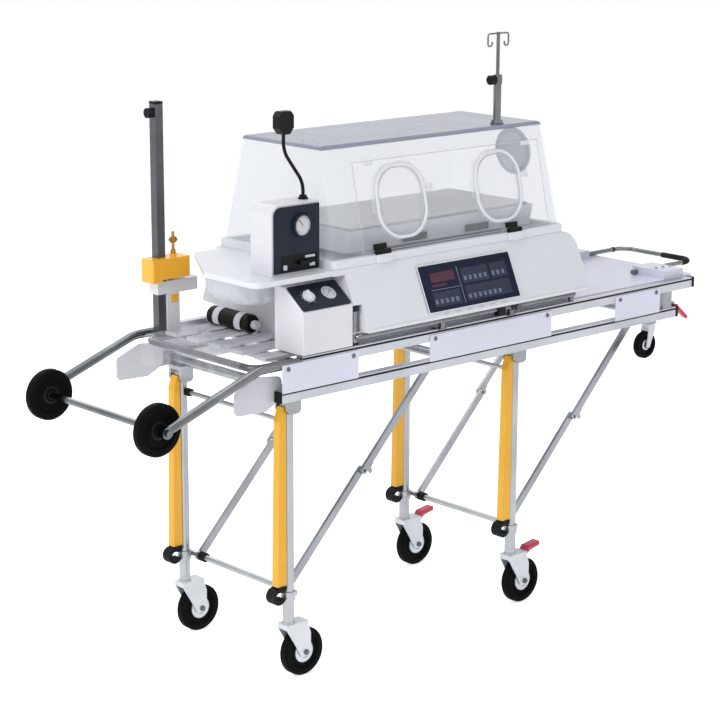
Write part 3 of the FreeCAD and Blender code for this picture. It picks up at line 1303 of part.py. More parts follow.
def flexible_lamp():
    """Goose-neck stem in one plane, with a flat head."""
    body = new_body("flexible_lamp")
    foot = "cabinet_top + seat_gap"
    top = foot + " + lamp_rise"
    path = bent_path(draw(body, "XZ_Plane", "-lamp_y"), [
        ("front_x + lamp_x", foot), ("front_x + lamp_x", foot + " + 42"),
        ("front_x + lamp_x - lamp_shift", top + " - 52"), ("front_x + lamp_x - lamp_shift", top)],
        ["70", "70"])
    profile = circle(draw(body, "XY_Plane", foot), "front_x + lamp_x", "-lamp_y", "lamp_d/2")
    pipe(body, profile, path)
    pad(body, circle(draw(body, "XY_Plane", foot), "front_x + lamp_x", "-lamp_y", "10"), "10")
    head = outline(draw(body, "XZ_Plane", "-lamp_y"), [
        ("front_x + lamp_x - lamp_shift - 11", top + " - 8"),
        ("front_x + lamp_x - lamp_shift + 11", top + " - 8"),
        ("front_x + lamp_x - lamp_shift + 24", top + " + 8"),
        ("front_x + lamp_x - lamp_shift + 24", top + " + 38"),
        ("front_x + lamp_x - lamp_shift + 15", top + " + 50"),
        ("front_x + lamp_x - lamp_shift - 15", top + " + 50"),
        ("front_x + lamp_x - lamp_shift - 24", top + " + 38"),
        ("front_x + lamp_x - lamp_shift - 24", top + " + 8")])
    pad(body, head, "26", both=True)
    smooth(body, "5", lambda edge: runs_along(edge, "x") and edge.CenterOfMass.z > number(top + " + 49"))
    node("flexible_lamp", body)


def clamp_knob(name, x, y, z):
    """Lobed knob with a short screw, on the loading wheel side of its tube."""
    body = new_body(name)
    pad(body, circle(draw(body, "XZ_Plane"), "0", "0", "knob_d/2"), "knob_length")
    for spot in ("knob_d/2", "-knob_d/2"):
        for other in ("knob_d*0.35", "-knob_d*0.35"):
            pocket(body, circle(draw(body, "XZ_Plane"), spot, other, "knob_d*0.14"), "3*knob_length")
    screw = circle(draw(body, "XZ_Plane", "seat_gap/2"), "0", "0", "3")
    pad(body, screw, "1")
    return node(name, place(body, x, y, z, (0, 0, 1), "-90 deg"))


def infusion_pole():
    tube = new_body("infusion_pole")
    foot = "roof_z + seat_gap"
    profile = circle(draw(tube, "XY_Plane", foot), "0", "0", "pole_d/2")
    pad(tube, profile, "pole_top_z - (%s)" % foot)
    pad(tube, circle(draw(tube, "XY_Plane", foot), "0", "0", "pole_d/2 + 5"), "12")
    collar = circle(draw(tube, "XY_Plane", "pole_top_z - 26"), "0", "0", "pole_d/2 + 2")
    pad(tube, collar, "24")
    bore = circle(draw(tube, "XY_Plane", "pole_top_z"), "0", "0", "rod_d/2 + fit_gap")
    pocket(tube, bore, "pole_top_z - (%s) - 14" % foot, both=False)
    node("infusion_pole", place(tube, "front_x + pole_x", "-pole_y"))
    clamp_knob("pole_knob", "front_x + pole_x - pole_d/2 - 2 - seat_gap", "-pole_y",
               "pole_top_z - 14")


def hook_rod():
    """Sliding rod with a cross bar and two looped hooks."""
    body = new_body("hook_rod")
    low = "pole_top_z - rod_travel - 20"
    pad(body, circle(draw(body, "XY_Plane", low), "0", "0", "rod_d/2"), "rod_top_z - (%s)" % low)
    drop = "rod_top_z - hook_reach"
    for side in ("", "-"):
        reach = side + "hook_reach"
        path = bent_path(draw(body, "XZ_Plane"), [
            ("0", "rod_top_z - 4"), (reach, "rod_top_z - 4"), (reach, drop + " + 2"),
            (side + "(hook_reach - 16)", drop + " + 2"), (side + "(hook_reach - 16)", drop + " + 14")],
            ["7", "7", "7"])
        profile = circle(draw(body, "YZ_Plane"), "0", "rod_top_z - 4", "hook_wire/2")
        pipe(body, profile, path)
    node("hook_rod", place(body, "front_x + pole_x", "-pole_y"))


def mast():
    tube = new_body("mast")
    profile = draw(tube, "XY_Plane", "slat_low + seat_gap")
    half = "mast_width/2"
    inner = half + " - mast_wall"
    box_outline(profile, "-" + half, "-" + half, half, half)
    box_outline(profile, "-(%s)" % inner, "-(%s)" % inner, inner, inner)
    pad(tube, profile, "mast_top_z - (slat_low + seat_gap)")
    node("mast", place(tube, "front_x - mast_x", "mast_y"))
    clamp_knob("mast_knob", "front_x - mast_x - mast_width/2 - seat_gap", "mast_y",
               "mast_top_z - 22")


def mast_clamp():
    """White bracket round the mast, with a foot plate and an arm for the regulator."""
    body = new_body("mast_clamp")
    hole = "mast_width/2 + seat_gap"
    outer = "mast_width/2 + 6"
    ring = draw(body, "XY_Plane", "clamp_z - clamp_height")
    box_outline(ring, "-(%s)" % outer, "-(%s)" % outer, "block_length*0.95", outer)
    pad(body, ring, "clamp_height")
    smooth(body, "10", lambda edge: runs_along(edge, "z") and near(edge, x="block_length*0.95"))
    leg = box_outline(draw(body, "XY_Plane", "slat_top + seat_gap"), outer + " - 6",
                      "-(%s)" % outer, outer + " + 34", "-(%s) + 6" % outer)
    pad(body, leg, "clamp_z - clamp_height - (slat_top + seat_gap) + 1")
    pocket(body, box_outline(draw(body, "XY_Plane", "clamp_z"), "-(%s)" % hole, "-(%s)" % hole, hole, hole),
           "4*clamp_height")
    return node("mast_clamp", place(body, "front_x - mast_x", "mast_y"))


def regulator():
    """Yellow regulator block round the mast, with a turned fitting above and a cup below."""
    body = new_body("regulator_block")
    hole = "mast_width/2 + seat_gap"
    block = box_outline(draw(body, "XY_Plane", "block_z"), "-block_length*0.36", "-block_depth*0.72",
                        "block_length*0.64", "block_depth*0.42")
    pad(body, block, "block_height")
    smooth(body, "5", lambda edge: runs_along(edge, "z"))
    pocket(body, box_outline(draw(body, "XY_Plane", "block_z"), "-(%s)" % hole, "-(%s)" % hole, hole, hole),
           "4*block_height")
    step = box_outline(draw(body, "XZ_Plane"), "-block_length*0.1", "block_z - 1",
                       "block_length", "block_z + block_height*0.12")
    pocket(body, step, "4*block_depth")
    neck = circle(draw(body, "XY_Plane", "clamp_z + seat_gap"), "block_length*0.3", "0", "9")
    pad(body, neck, "block_z + block_height*0.12 - (clamp_z + seat_gap) + 1")
    socket = circle(draw(body, "XY_Plane", "block_z + block_height - 1"), "block_length*0.3",
                    "-block_depth*0.3", "9")
    pad(body, socket, "9")
    bore = circle(draw(body, "XY_Plane", "block_z + block_height + 8"), "block_length*0.3",
                  "-block_depth*0.3", "4 + fit_gap")
    pocket(body, bore, "20", both=False)
    node("regulator_block", place(body, "front_x - mast_x", "mast_y"))
    key = new_body("valve_key")
    z = "block_z + block_height + 8 + seat_gap"
    pad(key, circle(draw(key, "XY_Plane", z + " - 14"), "0", "0", "4"), "72")
    wing = outline(draw(key, "XZ_Plane"), [
        ("-14", z + " + 36"), ("-8", z + " + 28"), ("8", z + " + 28"), ("14", z + " + 36"),
        ("8", z + " + 44"), ("-8", z + " + 44")])
    pad(key, wing, "5", both=True)
    pad(key, circle(draw(key, "XY_Plane", z), "0", "0", "7"), "10")
    node("valve_key", place(key, "front_x - mast_x + block_length*0.3", "mast_y - block_depth*0.3"))


def soft_parts():
    """Supply bag hung under the side shelf and the bottle strapped across the slats."""
    bag = new_body("supply_bag")
    left, right = "front_x + bag_x", "front_x + bag_x + bag_length"
    hung = "wing_z - seat_gap"
    outline(draw(bag, "XZ_Plane", "bag_y"), [
        (left, "bag_z + bag_low"), (left + " + bag_length/2", "bag_z"),
        (right, "bag_z + bag_low*0.7"), (right, hung), (left, hung)])
    pad(bag, bag.Group[-1], "bag_depth")
    smooth(bag, "8", lambda edge: runs_along(edge, "y"))
    node("supply_bag", bag)
    bottle = new_body("strapped_bottle")
    z = "slat_top + seat_gap + bottle_d/2"
    profile = circle(draw(bottle, "XZ_Plane", "bottle_y"), "front_x + bottle_x", z, "bottle_d/2")
    pad(bottle, profile, "bottle_length")
    smooth(bottle, "12", lambda edge: isinstance(edge.Curve, Part.Circle))
    node("strapped_bottle", bottle)


def check_document():
    """Stop before anything is written if a feature failed or a solid is bad."""
    doc.recompute()
    failed = [item.Name for item in doc.Objects if {"Invalid", "Error"} & set(item.State)]
    if failed:
        raise RuntimeError("failed: " + ", ".join(failed))
    for thing in nodes:
        if thing.Shape.isNull() or not thing.Shape.isValid() or not thing.Shape.Solids:
            raise RuntimeError("bad shape: " + thing.Label)


def write_steps():
    os.makedirs("parts", exist_ok=True)
    for thing in nodes:
        thing.Shape.exportStep("parts/%s.step" % thing.Label)


fill_sheet()
leg_sets()
casters()
small_caster()
rails()
side_plates()
cross_frame()
deck()
node("front_platform", *platform(), *nose_plates())
loading_frame()
grab_rail()
rear_handle()
release_lever()
base_housing()
control_screen()
hood_frame()
hood()
hood_roof()
access_door()
port_cover("left_port_cover", "0")
port_cover("right_port_cover", "port_pitch")
iris_port()
bed()
gas_cabinet()
dark_fittings()
gas_lever()
control_box()
control_dial()
flexible_lamp()
infusion_pole()
hook_rod()
mast()
mast_clamp()
regulator()
soft_parts()
check_document()
write_steps()
print("%d sub-parts" % len(nodes))
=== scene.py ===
# %% [markdown]
# # A transport incubator on a folding ambulance trolley
#
# This lesson dresses a jointed model for a photograph. The solids of the
# trolley and the incubator come ready made, each one named and each one on
# a body that can move. What is left for Blender is the light, the finishes
# and the small and soft things: trims, screws, hubs, cuffs, a mattress and
# two pieces made of film.
#
# We begin by loading the solids. Everything is in metres, the floor is at
# z = 0, the loading wheels are at -X and the screen faces -Y.

# %% Load the solids
import json
import math

import bmesh
import bpy
from mathutils import Matrix, Vector

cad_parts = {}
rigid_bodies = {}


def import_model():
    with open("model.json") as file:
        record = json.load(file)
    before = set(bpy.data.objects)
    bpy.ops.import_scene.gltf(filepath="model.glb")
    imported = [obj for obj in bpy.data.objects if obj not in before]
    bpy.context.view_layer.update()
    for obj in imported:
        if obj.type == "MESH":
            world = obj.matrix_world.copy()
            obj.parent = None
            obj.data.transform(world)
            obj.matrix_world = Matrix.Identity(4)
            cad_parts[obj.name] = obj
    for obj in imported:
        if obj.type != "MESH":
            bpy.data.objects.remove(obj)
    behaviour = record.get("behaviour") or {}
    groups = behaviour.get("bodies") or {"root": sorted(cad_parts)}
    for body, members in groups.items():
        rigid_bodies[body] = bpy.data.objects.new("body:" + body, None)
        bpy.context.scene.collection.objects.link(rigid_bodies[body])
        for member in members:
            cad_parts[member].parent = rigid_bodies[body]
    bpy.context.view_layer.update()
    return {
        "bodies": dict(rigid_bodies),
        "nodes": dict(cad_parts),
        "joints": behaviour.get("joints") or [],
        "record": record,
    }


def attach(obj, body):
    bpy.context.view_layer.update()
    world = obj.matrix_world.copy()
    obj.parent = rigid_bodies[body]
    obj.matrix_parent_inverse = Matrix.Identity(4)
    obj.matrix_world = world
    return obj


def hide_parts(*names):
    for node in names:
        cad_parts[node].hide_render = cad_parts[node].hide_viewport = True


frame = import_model()
nodes = frame["nodes"]

# %% [markdown]
# ## The camera
#
# The photograph was taken from the front left, a little above the deck, with
# a long lens: the wheels on the far side look almost as large as the near
# ones. Lines back from the four wheels, the rails and the hood meet about
# five metres away, and a 105 mm lens on a 36 mm sensor gives that view.

# %% Place the camera
CAMERA_PLACE = Vector((-3.951, -4.144, 2.104))
CAMERA_YAW, CAMERA_PITCH, CAMERA_ROLL = 0.7402, -0.2340, 0.0035


def camera_turn(yaw, pitch, roll):
    """Turn a camera to a heading from +Y towards +X, a tilt and a roll."""
    ahead = Vector((math.sin(yaw) * math.cos(pitch), math.cos(yaw) * math.cos(pitch),
                    math.sin(pitch)))
    side = Vector((math.cos(yaw), -math.sin(yaw), 0))
    above = side.cross(ahead)
    right = math.cos(roll) * side + math.sin(roll) * above
    up = -math.sin(roll) * side + math.cos(roll) * above
    return Matrix((right, up, -ahead)).transposed()


camera_data = bpy.data.cameras.new("photo_camera")
camera_data.sensor_width = 36
camera_data.lens = 105.1
camera = bpy.data.objects.new("photo_camera", camera_data)
camera.matrix_world = Matrix.Translation(CAMERA_PLACE) @ camera_turn(
    CAMERA_YAW, CAMERA_PITCH, CAMERA_ROLL).to_4x4()
bpy.context.scene.collection.objects.link(camera)
bpy.context.scene.camera = camera
print("camera at", tuple(round(v, 2) for v in camera.location))

# %% [markdown]
# ## Floor, backdrop and light
#
# The picture is a plain studio shot on white. A large floor sheet carries
# the soft shadow, and the world behind it is white to the camera, to
# reflections and to what is seen through the clear hood. The lamps are wide
# and soft, and weak enough that a colour renders about as it is written.

# %% Floor, world and lamps
scene = bpy.context.scene
scene.view_settings.view_transform = "Standard"


def link_object(name, data):
    item = bpy.data.objects.new(name, data)
    scene.collection.objects.link(item)
    return item


def set_inputs(node, **values):
    """Set input values by name, with _ for a space."""
    for label, value in values.items():
        node.inputs[label.replace("_", " ")].default_value = value
    return node


def add_node(tree, kind, operation=None, **values):
    """A new node, with its operation and the input values given by name."""
    node = tree.nodes.new(kind)
    if operation:
        node.operation = operation
    return set_inputs(node, **values)


def wire(tree, *links):
    """Join sockets: a link is a node and its output, then a node and its input."""
    for source, out, target, into in links:
        tree.links.new(source.outputs[out], target.inputs[into])


def white_to_the_eye(tree, plain, target, strength=1.0):
    """Mix a plain shader with flat white for rays that only look at it."""
    path = add_node(tree, "ShaderNodeLightPath")
    looks = add_node(tree, "ShaderNodeMath", "MAXIMUM")
    through = add_node(tree, "ShaderNodeMath", "MAXIMUM")
    white = add_node(tree, "ShaderNodeBackground", Color=(1, 1, 1, 1), Strength=strength)
    mix = add_node(tree, "ShaderNodeMixShader")
    wire(tree, (path, "Is Camera Ray", looks, 0), (path, "Is Glossy Ray", looks, 1),
         (looks, 0, through, 0), (path, "Is Transmission Ray", through, 1),
         (through, 0, mix, 0), (plain, 0, mix, 1), (white, 0, mix, 2), (mix, 0, target, "Surface"))


def new_material(name):
    """A material, its node tree and its Principled shader."""
    material = bpy.data.materials.new(name)
    material.use_nodes = True
    return material, material.node_tree, material.node_tree.nodes["Principled BSDF"]


world = bpy.data.worlds.new("studio_world")
scene.world = world
world.use_nodes = True
soft_sky = set_inputs(world.node_tree.nodes["Background"], Color=(0.93, 0.95, 1.0, 1),
                      Strength=0.46)
white_to_the_eye(world.node_tree, soft_sky, world.node_tree.nodes["World Output"])

floor_mesh = bpy.data.meshes.new("studio_floor")
FLOOR_HALF = 9
floor_mesh.from_pydata([(x * FLOOR_HALF, y * FLOOR_HALF, 0) for x, y in (
    (-1, -1), (1, -1), (1, 1), (-1, 1))], [], [(0, 1, 2, 3)])
floor = link_object("studio_floor", floor_mesh)
floor_paint, unused, paper = new_material("studio_floor")
set_inputs(paper, Base_Color=(0.96, 0.96, 0.96, 1), Roughness=0.9, Specular_IOR_Level=0.1,
           Emission_Color=(1, 1, 1, 1), Emission_Strength=0.62)
floor_mesh.materials.append(floor_paint)


def soft_lamp(name, place, aim, size, power):
    """A square area lamp that looks at a point."""
    data = bpy.data.lights.new(name, "AREA")
    data.size = size
    data.energy = power
    lamp = link_object(name, data)
    lamp.location = place
    lamp.rotation_euler = (Vector(aim) - Vector(place)).to_track_quat("-Z", "Y").to_euler()


soft_lamp("key_lamp", (-4.6, -1.2, 3.4), (0, 0, 0.8), 3.0, 110)
soft_lamp("fill_lamp", (2.6, -4.2, 3.0), (0.2, 0, 0.8), 3.0, 12)
soft_lamp("back_lamp", (0.5, 4.2, 3.4), (0, 0, 0.9), 3.5, 60)
soft_lamp("top_lamp", (0.2, 0.2, 5.0), (0, 0, 0.8), 3.0, 46)
print("stage ready")

# %% [markdown]
# ## Surface helpers shared by the finishes
#
# No real surface is one even colour. Powder coat is slightly orange-peeled,
# tube is drawn or brushed, plastic has a fine spark-eroded grain, and all of
# them pick up faint smudges. Each effect is a small node group with named
# inputs, so the same recipe serves many finishes at different scales.

# %% Node groups for grain, brushing and smudges
MASK_AND_NORMAL = [("Mask", "NodeSocketFloat"), ("Normal", "NodeSocketVector")]


def group_shell(name, inputs, outputs):
    """An empty shader group with numbered inputs and named outputs."""
    group = bpy.data.node_groups.new(name, "ShaderNodeTree")
    for label, value in inputs:
        socket = group.interface.new_socket(name=label, in_out="INPUT",
                                            socket_type="NodeSocketFloat")
        socket.default_value = value
    for label, kind in outputs:
        group.interface.new_socket(name=label, in_out="OUTPUT", socket_type=kind)
    return group, group.nodes.new("NodeGroupInput"), group.nodes.new("NodeGroupOutput")


def hand_out(group, given, result, node, out, distance):
    """Hand one value out as the mask and, by Depth, as a bump."""
    bump = add_node(group, "ShaderNodeBump", Distance=distance)
    wire(group, (node, out, bump, "Height"), (given, "Depth", bump, "Strength"),
         (node, out, result, "Mask"), (bump, "Normal", result, "Normal"))
    return group


def make_grain_group():
    """Fine moulded grain: a noise in object space, as a mask and as a bump."""
    group, given, result = group_shell(
        "moulded_grain", [("Scale", 400.0), ("Depth", 0.15)], MASK_AND_NORMAL)
    place = add_node(group, "ShaderNodeTexCoord")
    noise = add_node(group, "ShaderNodeTexNoise", Detail=4)
    wire(group, (place, "Object", noise, "Vector"), (given, "Scale", noise, "Scale"))
    return hand_out(group, given, result, noise, "Fac", 0.0006)


def make_brush_group():
    """Drawn or brushed metal: noise stretched along one direction."""
    group, given, result = group_shell(
        "brushed_lines", [("Along X", 3.0), ("Along Y", 60.0), ("Along Z", 60.0), ("Depth", 0.1)],
        MASK_AND_NORMAL)
    place = add_node(group, "ShaderNodeTexCoord")
    scales = add_node(group, "ShaderNodeCombineXYZ")
    stretch = add_node(group, "ShaderNodeVectorMath", "MULTIPLY")
    noise = add_node(group, "ShaderNodeTexNoise", Scale=12, Detail=5)
    wire(group, (given, "Along X", scales, 0), (given, "Along Y", scales, 1),
         (given, "Along Z", scales, 2), (place, "Object", stretch, 0), (scales, 0, stretch, 1),
         (stretch, 0, noise, "Vector"))
    return hand_out(group, given, result, noise, "Fac", 0.0004)


def make_smudge_group():
    """Wide soft patches where hands and cloths have been."""
    group, given, result = group_shell(
        "wiped_smudges", [("Scale", 6.0), ("Low", 0.35), ("High", 0.7)],
        [("Mask", "NodeSocketFloat")])
    place = add_node(group, "ShaderNodeTexCoord")
    noise = add_node(group, "ShaderNodeTexNoise", Detail=6, Roughness=0.62)
    spread = add_node(group, "ShaderNodeMapRange")
    wire(group, (place, "Object", noise, "Vector"), (given, "Scale", noise, "Scale"),
         (noise, "Fac", spread, "Value"), (given, "Low", spread, "From Min"),
         (given, "High", spread, "From Max"), (spread, "Result", result, "Mask"))
    return group


def make_weave_group():
    """Plain woven cloth: two sets of threads that cross."""
    group, given, result = group_shell(
        "plain_weave", [("Threads", 900.0), ("Depth", 0.3)], MASK_AND_NORMAL)
    place = add_node(group, "ShaderNodeTexCoord")
    both = add_node(group, "ShaderNodeMath", "MULTIPLY")
    for index, direction in enumerate("XY"):
        wave = add_node(group, "ShaderNodeTexWave", Distortion=0.6, Detail=1)
        wave.bands_direction = direction
        wire(group, (place, "Object", wave, "Vector"), (given, "Threads", wave, "Scale"),
             (wave, "Fac", both, index))
    return hand_out(group, given, result, both, 0, 0.0004)


GRAIN, BRUSH = make_grain_group(), make_brush_group()
SMUDGE, WEAVE = make_smudge_group(), make_weave_group()
print("surface groups:", GRAIN.name, BRUSH.name, SMUDGE.name, WEAVE.name)

# %% [markdown]
# ## One builder for the finishes
#
# A finish starts from one Principled shader. The grain, the brushing or the
# weave gives its bump. Two close tints mixed by that mask keep the colour
# alive, and the smudge mask moves the roughness between two values. What is
# the same all over the surface, such as the metallic value, is set straight
# on the shader. The plated tube is the exception: its darkened grey and a
# much darker second tint, streaked along the tube, are painted reflections.

# %% The finish builder
def srgb(code):
    """A web colour as linear values."""
    parts = [int(code[i:i + 2], 16) / 255 for i in (1, 3, 5)]
    return tuple(p / 12.92 if p <= 0.04045 else ((p + 0.055) / 1.055) ** 2.4 for p in parts) + (1,)


def smudged_gloss(tree, shader, rough, scale=None):
    """Let the smudges move the roughness between two values; return their node."""
    smudges = add_node(tree, "ShaderNodeGroup")
    smudges.node_tree = SMUDGE
    if scale:
        smudges.inputs["Scale"].default_value = scale
    gloss = add_node(tree, "ShaderNodeMapRange", To_Min=rough[0], To_Max=rough[1])
    wire(tree, (smudges, "Mask", gloss, "Value"), (gloss, "Result", shader, "Roughness"))
    return smudges


def finish(name, light, dark, rough, texture, settings, **plain):
    """A material from two tints, a roughness range and one surface texture group."""
    material, tree, shader = new_material(name)
    set_inputs(shader, **plain)
    surface = add_node(tree, "ShaderNodeGroup")
    surface.node_tree = texture
    set_inputs(surface, **settings)
    smudges = smudged_gloss(tree, shader, rough, scale=5.0)
    share = add_node(tree, "ShaderNodeMath", "MULTIPLY")
    share.inputs[1].default_value = 0.5
    blend = add_node(tree, "ShaderNodeMath", "MULTIPLY_ADD")
    blend.inputs[1].default_value = 0.45
    tint = add_node(tree, "ShaderNodeMix")
    tint.data_type = "RGBA"
    set_inputs(tint, A=srgb(light), B=srgb(dark))
    wire(tree, (smudges, "Mask", share, 0), (surface, "Mask", blend, 0), (share, 0, blend, 2),
         (blend, 0, tint, "Factor"), (tint, "Result", shader, "Base Color"),
         (surface, "Normal", shader, "Normal"))
    return material


ALONG_X = {"Along X": 2.0, "Along Y": 70.0, "Along Z": 70.0, "Depth": 0.12}
ALONG_Z = {"Along X": 70.0, "Along Y": 70.0, "Along Z": 2.0, "Depth": 0.12}
FINE = {"Scale": 900.0, "Depth": 0.10}
PEEL = {"Scale": 260.0, "Depth": 0.12}
GLASSY = {"Scale": 300.0, "Depth": 0.02}

anodised = finish("anodised_aluminium", "#C6C8CE", "#ABAEB5", (0.30, 0.42), BRUSH, ALONG_X,
                  Metallic=0.85)
leg_metal = finish("leg_aluminium", "#B9BCBF", "#94989B", (0.28, 0.40), BRUSH, ALONG_Z,
                   Metallic=0.85)
white_paint = finish("white_powder_coat", "#E0E1E5", "#D6D7DB", (0.32, 0.45), GRAIN, PEEL)
lilac_white = finish("side_plate_paint", "#DEDFEC", "#D2D4E4", (0.30, 0.42), GRAIN, PEEL)
# Plated tube: the metal's grey, darkened, with a much darker second tint streaked along X, painted
# reflections, since the gloss sees a white world.
chrome_and_painted_reflections = finish("plated_tube_painted_reflections", "#8B8E90", "#4A4D4F", (0.10, 0.24), BRUSH, ALONG_X, Metallic=1.0)
brace_metal = finish("brace_tube", "#A6A9AC", "#7C7F83", (0.20, 0.34), BRUSH, ALONG_Z,
                     Metallic=0.95)
steel = finish("brushed_steel", "#6E7073", "#47494C", (0.28, 0.44), BRUSH, ALONG_Z, Metallic=0.9)
yellow = finish("yellow_cover", "#EBB010", "#DFA00A", (0.30, 0.44), GRAIN, FINE, Coat_Weight=0.15)
rubber = finish("black_rubber", "#141517", "#0A0B0C", (0.62, 0.80), GRAIN,
                {"Scale": 700.0, "Depth": 0.3}, Specular_IOR_Level=0.18)
tread = finish("wheel_tread", "#070708", "#030303", (0.60, 0.80), GRAIN,
               {"Scale": 500.0, "Depth": 0.35}, Specular_IOR_Level=0.08)
black_plastic = finish("black_plastic", "#08090A", "#040505", (0.42, 0.60), GRAIN,
                       {"Scale": 800.0, "Depth": 0.2}, Specular_IOR_Level=0.18)
red_plastic = finish("red_plastic", "#CC1F46", "#B01538", (0.30, 0.42), GRAIN, FINE,
                     Coat_Weight=0.2)
moulding = finish("white_moulding", "#E2E4E8", "#D8DADF", (0.28, 0.40), GRAIN, FINE,
                  Coat_Weight=0.1)
fork_grey = finish("fork_zinc", "#D2D5D8", "#BDC1C5", (0.34, 0.48), GRAIN, PEEL, Metallic=0.6)
amber_metal = finish("yellow_metal", "#FFBC2E", "#F2A820", (0.25, 0.38), GRAIN, PEEL,
                     Coat_Weight=0.3)
brass = finish("brass", "#B98F45", "#9C7431", (0.25, 0.40), BRUSH, ALONG_Z, Metallic=1.0)
navy_panel = finish("navy_panel", "#262D3B", "#1B212D", (0.34, 0.48), GRAIN, FINE,
                    Specular_IOR_Level=0.12)
ledge_grey = finish("pale_grey_plastic", "#D0D1D6", "#C4C5CB", (0.34, 0.46), GRAIN, FINE)
screen_ink, screen_red, screen_pale = (
    finish(name, light, dark, (0.10, 0.18), GRAIN, GLASSY, Specular_IOR_Level=0.25)
    for name, light, dark in (("screen_blocks", "#222A42", "#1A2136"),
                              ("screen_red", "#541C38", "#42152C"),
                              ("screen_pale", "#6C7793", "#5B6682")))
cloth = finish("mattress_cloth", "#F3F2EE", "#E6E5E0", (0.75, 0.88), WEAVE,
               {"Threads": 700.0, "Depth": 0.25})
print("opaque finishes ready")

# %% [markdown]
# ## Clear and tinted sheet
#
# The hood is clear acrylic, about four millimetres thick. Seen straight on
# it nearly disappears, and at a shallow angle it turns pale and glossy. An
# alpha that rises with Layer Weight gives both, lets the light in to the
# mattress, and survives the export, where a refracting solid would darken
# what is behind it.

# %% The clear sheet builder
def sheet_finish(name, colour, clear, pale, rough):
    """A see-through plastic whose alpha grows from 'clear' to 'pale' with the angle."""
    material, tree, shader = new_material(name)
    set_inputs(shader, Base_Color=srgb(colour), IOR=1.49)
    angle = add_node(tree, "ShaderNodeLayerWeight", Blend=0.35)
    veil = add_node(tree, "ShaderNodeMapRange", To_Min=clear, To_Max=pale)
    wire(tree, (angle, "Facing", veil, "Value"), (veil, "Result", shader, "Alpha"))
    smudged_gloss(tree, shader, rough)
    return material


clear_wall = sheet_finish("clear_acrylic", "#E9EEF3", 0.07, 0.56, (0.05, 0.12))
clear_door = sheet_finish("door_acrylic", "#EEF3F8", 0.03, 0.42, (0.04, 0.10))
port_clear = sheet_finish("port_acrylic", "#F2F5F9", 0.12, 0.55, (0.06, 0.14))
roof_tint = sheet_finish("roof_acrylic", "#8F95A8", 0.66, 0.92, (0.14, 0.24))
film = sheet_finish("bag_film", "#DDE0E6", 0.58, 0.92, (0.18, 0.30))
thin_film = sheet_finish("thin_film", "#D6DAE0", 0.06, 0.55, (0.12, 0.24))
display = finish("screen_glass", "#23273D", "#1C2034", (0.10, 0.16), GRAIN, GLASSY,
                 Specular_IOR_Level=0.06)
print("clear finishes ready")

# %% [markdown]
# ## Finishes on the solids
#
# Each node of the solid model keeps its shape and gets its real finish. A
# table from finish to nodes keeps this readable.

# %% Put the finishes on the nodes
NODE_FINISHES = [
    (anodised, ["side_rails"]),
    (leg_metal, ["front_legs", "rear_legs"]),
    (white_paint, ["gas_cabinet", "control_box", "mast_clamp"]),
    (ledge_grey, ["front_platform"]),
    (lilac_white, ["deck_panel", "side_plates"]),
    (moulding, ["base_housing", "mattress_tray", "hood_frame", "iris_port", "control_dial"]),
    (chrome_and_painted_reflections, ["loading_arms", "grab_rail", "rear_handle", "infusion_pole", "hook_rod"]),
    (steel, ["mast"]),
    (brace_metal, ["cross_frame", "front_lower_braces", "front_upper_braces",
                   "rear_lower_braces", "rear_upper_braces"]),
    (yellow, ["front_leg_covers", "rear_leg_covers"]),
    (rubber, ["front_leg_rubbers", "rear_leg_rubbers"]),
    (tread, ["front_left_wheel", "front_right_wheel", "rear_left_wheel", "rear_right_wheel",
             "small_wheel", "left_loading_wheel", "right_loading_wheel"]),
    (fork_grey, ["front_left_fork", "front_right_fork", "rear_left_fork", "rear_right_fork",
                 "small_fork"]),
    (navy_panel, ["dark_fittings"]),
    (black_plastic, ["gas_lever", "flexible_lamp", "pole_knob", "mast_knob",
                     "strapped_bottle"]),
    (red_plastic, ["left_brake_pedal", "right_brake_pedal", "release_lever"]),
    (amber_metal, ["regulator_block"]),
    (brass, ["valve_key"]),
    (cloth, ["mattress"]),
    (film, ["supply_bag"]),
    (clear_wall, ["hood"]),
    (clear_door, ["access_door"]),
    (port_clear, ["left_port_cover", "right_port_cover"]),
    (roof_tint, ["hood_roof"]),
    (display, ["control_screen"]),
]
for material, names in NODE_FINISHES:
    for name in names:
        for slot in nodes[name].material_slots:
            slot.material = material
dressed = sum(len(names) for material, names in NODE_FINISHES)
print("finishes on", dressed, "of", len(nodes), "nodes")

# %% [markdown]
# ## Small helpers for new pieces
#
# The new parts are built in millimetres from the front leg axis, because
# that is how the trolley was measured. A local frame carries the tilt of the
# wall, the screen or the end of the hood, so a button is simply "so far up
# and so far across" on its own surface.

# %% Frames and mesh helpers
FRONT_AXIS_X = -0.614
WALL_TILT = math.atan2(65.8, 295.7)
END_TILT = math.atan2(15.9, 295.7)
SCREEN_TILT = math.atan2(67, 149)
PANEL_TILT = math.atan2(72, 54)


def local_frame(x, y, z, tilt=0.0, axis="X"):
    """Local millimetres to metres: a place from the front leg axis and one tilt."""
    place = Matrix.Translation((FRONT_AXIS_X + x / 1000, y / 1000, z / 1000))
    return place @ Matrix.Rotation(tilt, 4, axis) @ Matrix.Diagonal((0.001, 0.001, 0.001, 1))


STATION = local_frame(0, 0, 0)
WALL = local_frame(0, -225, 1066.3, -WALL_TILT)
SCREEN = local_frame(422, -300.3, 917, -SCREEN_TILT)
PANEL = local_frame(8, -272, 982, -PANEL_TILT)
HOOD_END = local_frame(989.7, -46, 1276, -END_TILT, "Y")


def keep(name, shape, material, body, slot=None, soft_shade=False):
    """Turn a bmesh into a piece that rides on a body."""
    mesh = bpy.data.meshes.new(name)
    bmesh.ops.recalc_face_normals(shape, faces=shape.faces[:])
    shape.to_mesh(mesh)
    shape.free()
    mesh.materials.append(material)
    if soft_shade:
        mesh.shade_smooth()
    piece = link_object(name, mesh)
    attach(piece, body)
    return piece


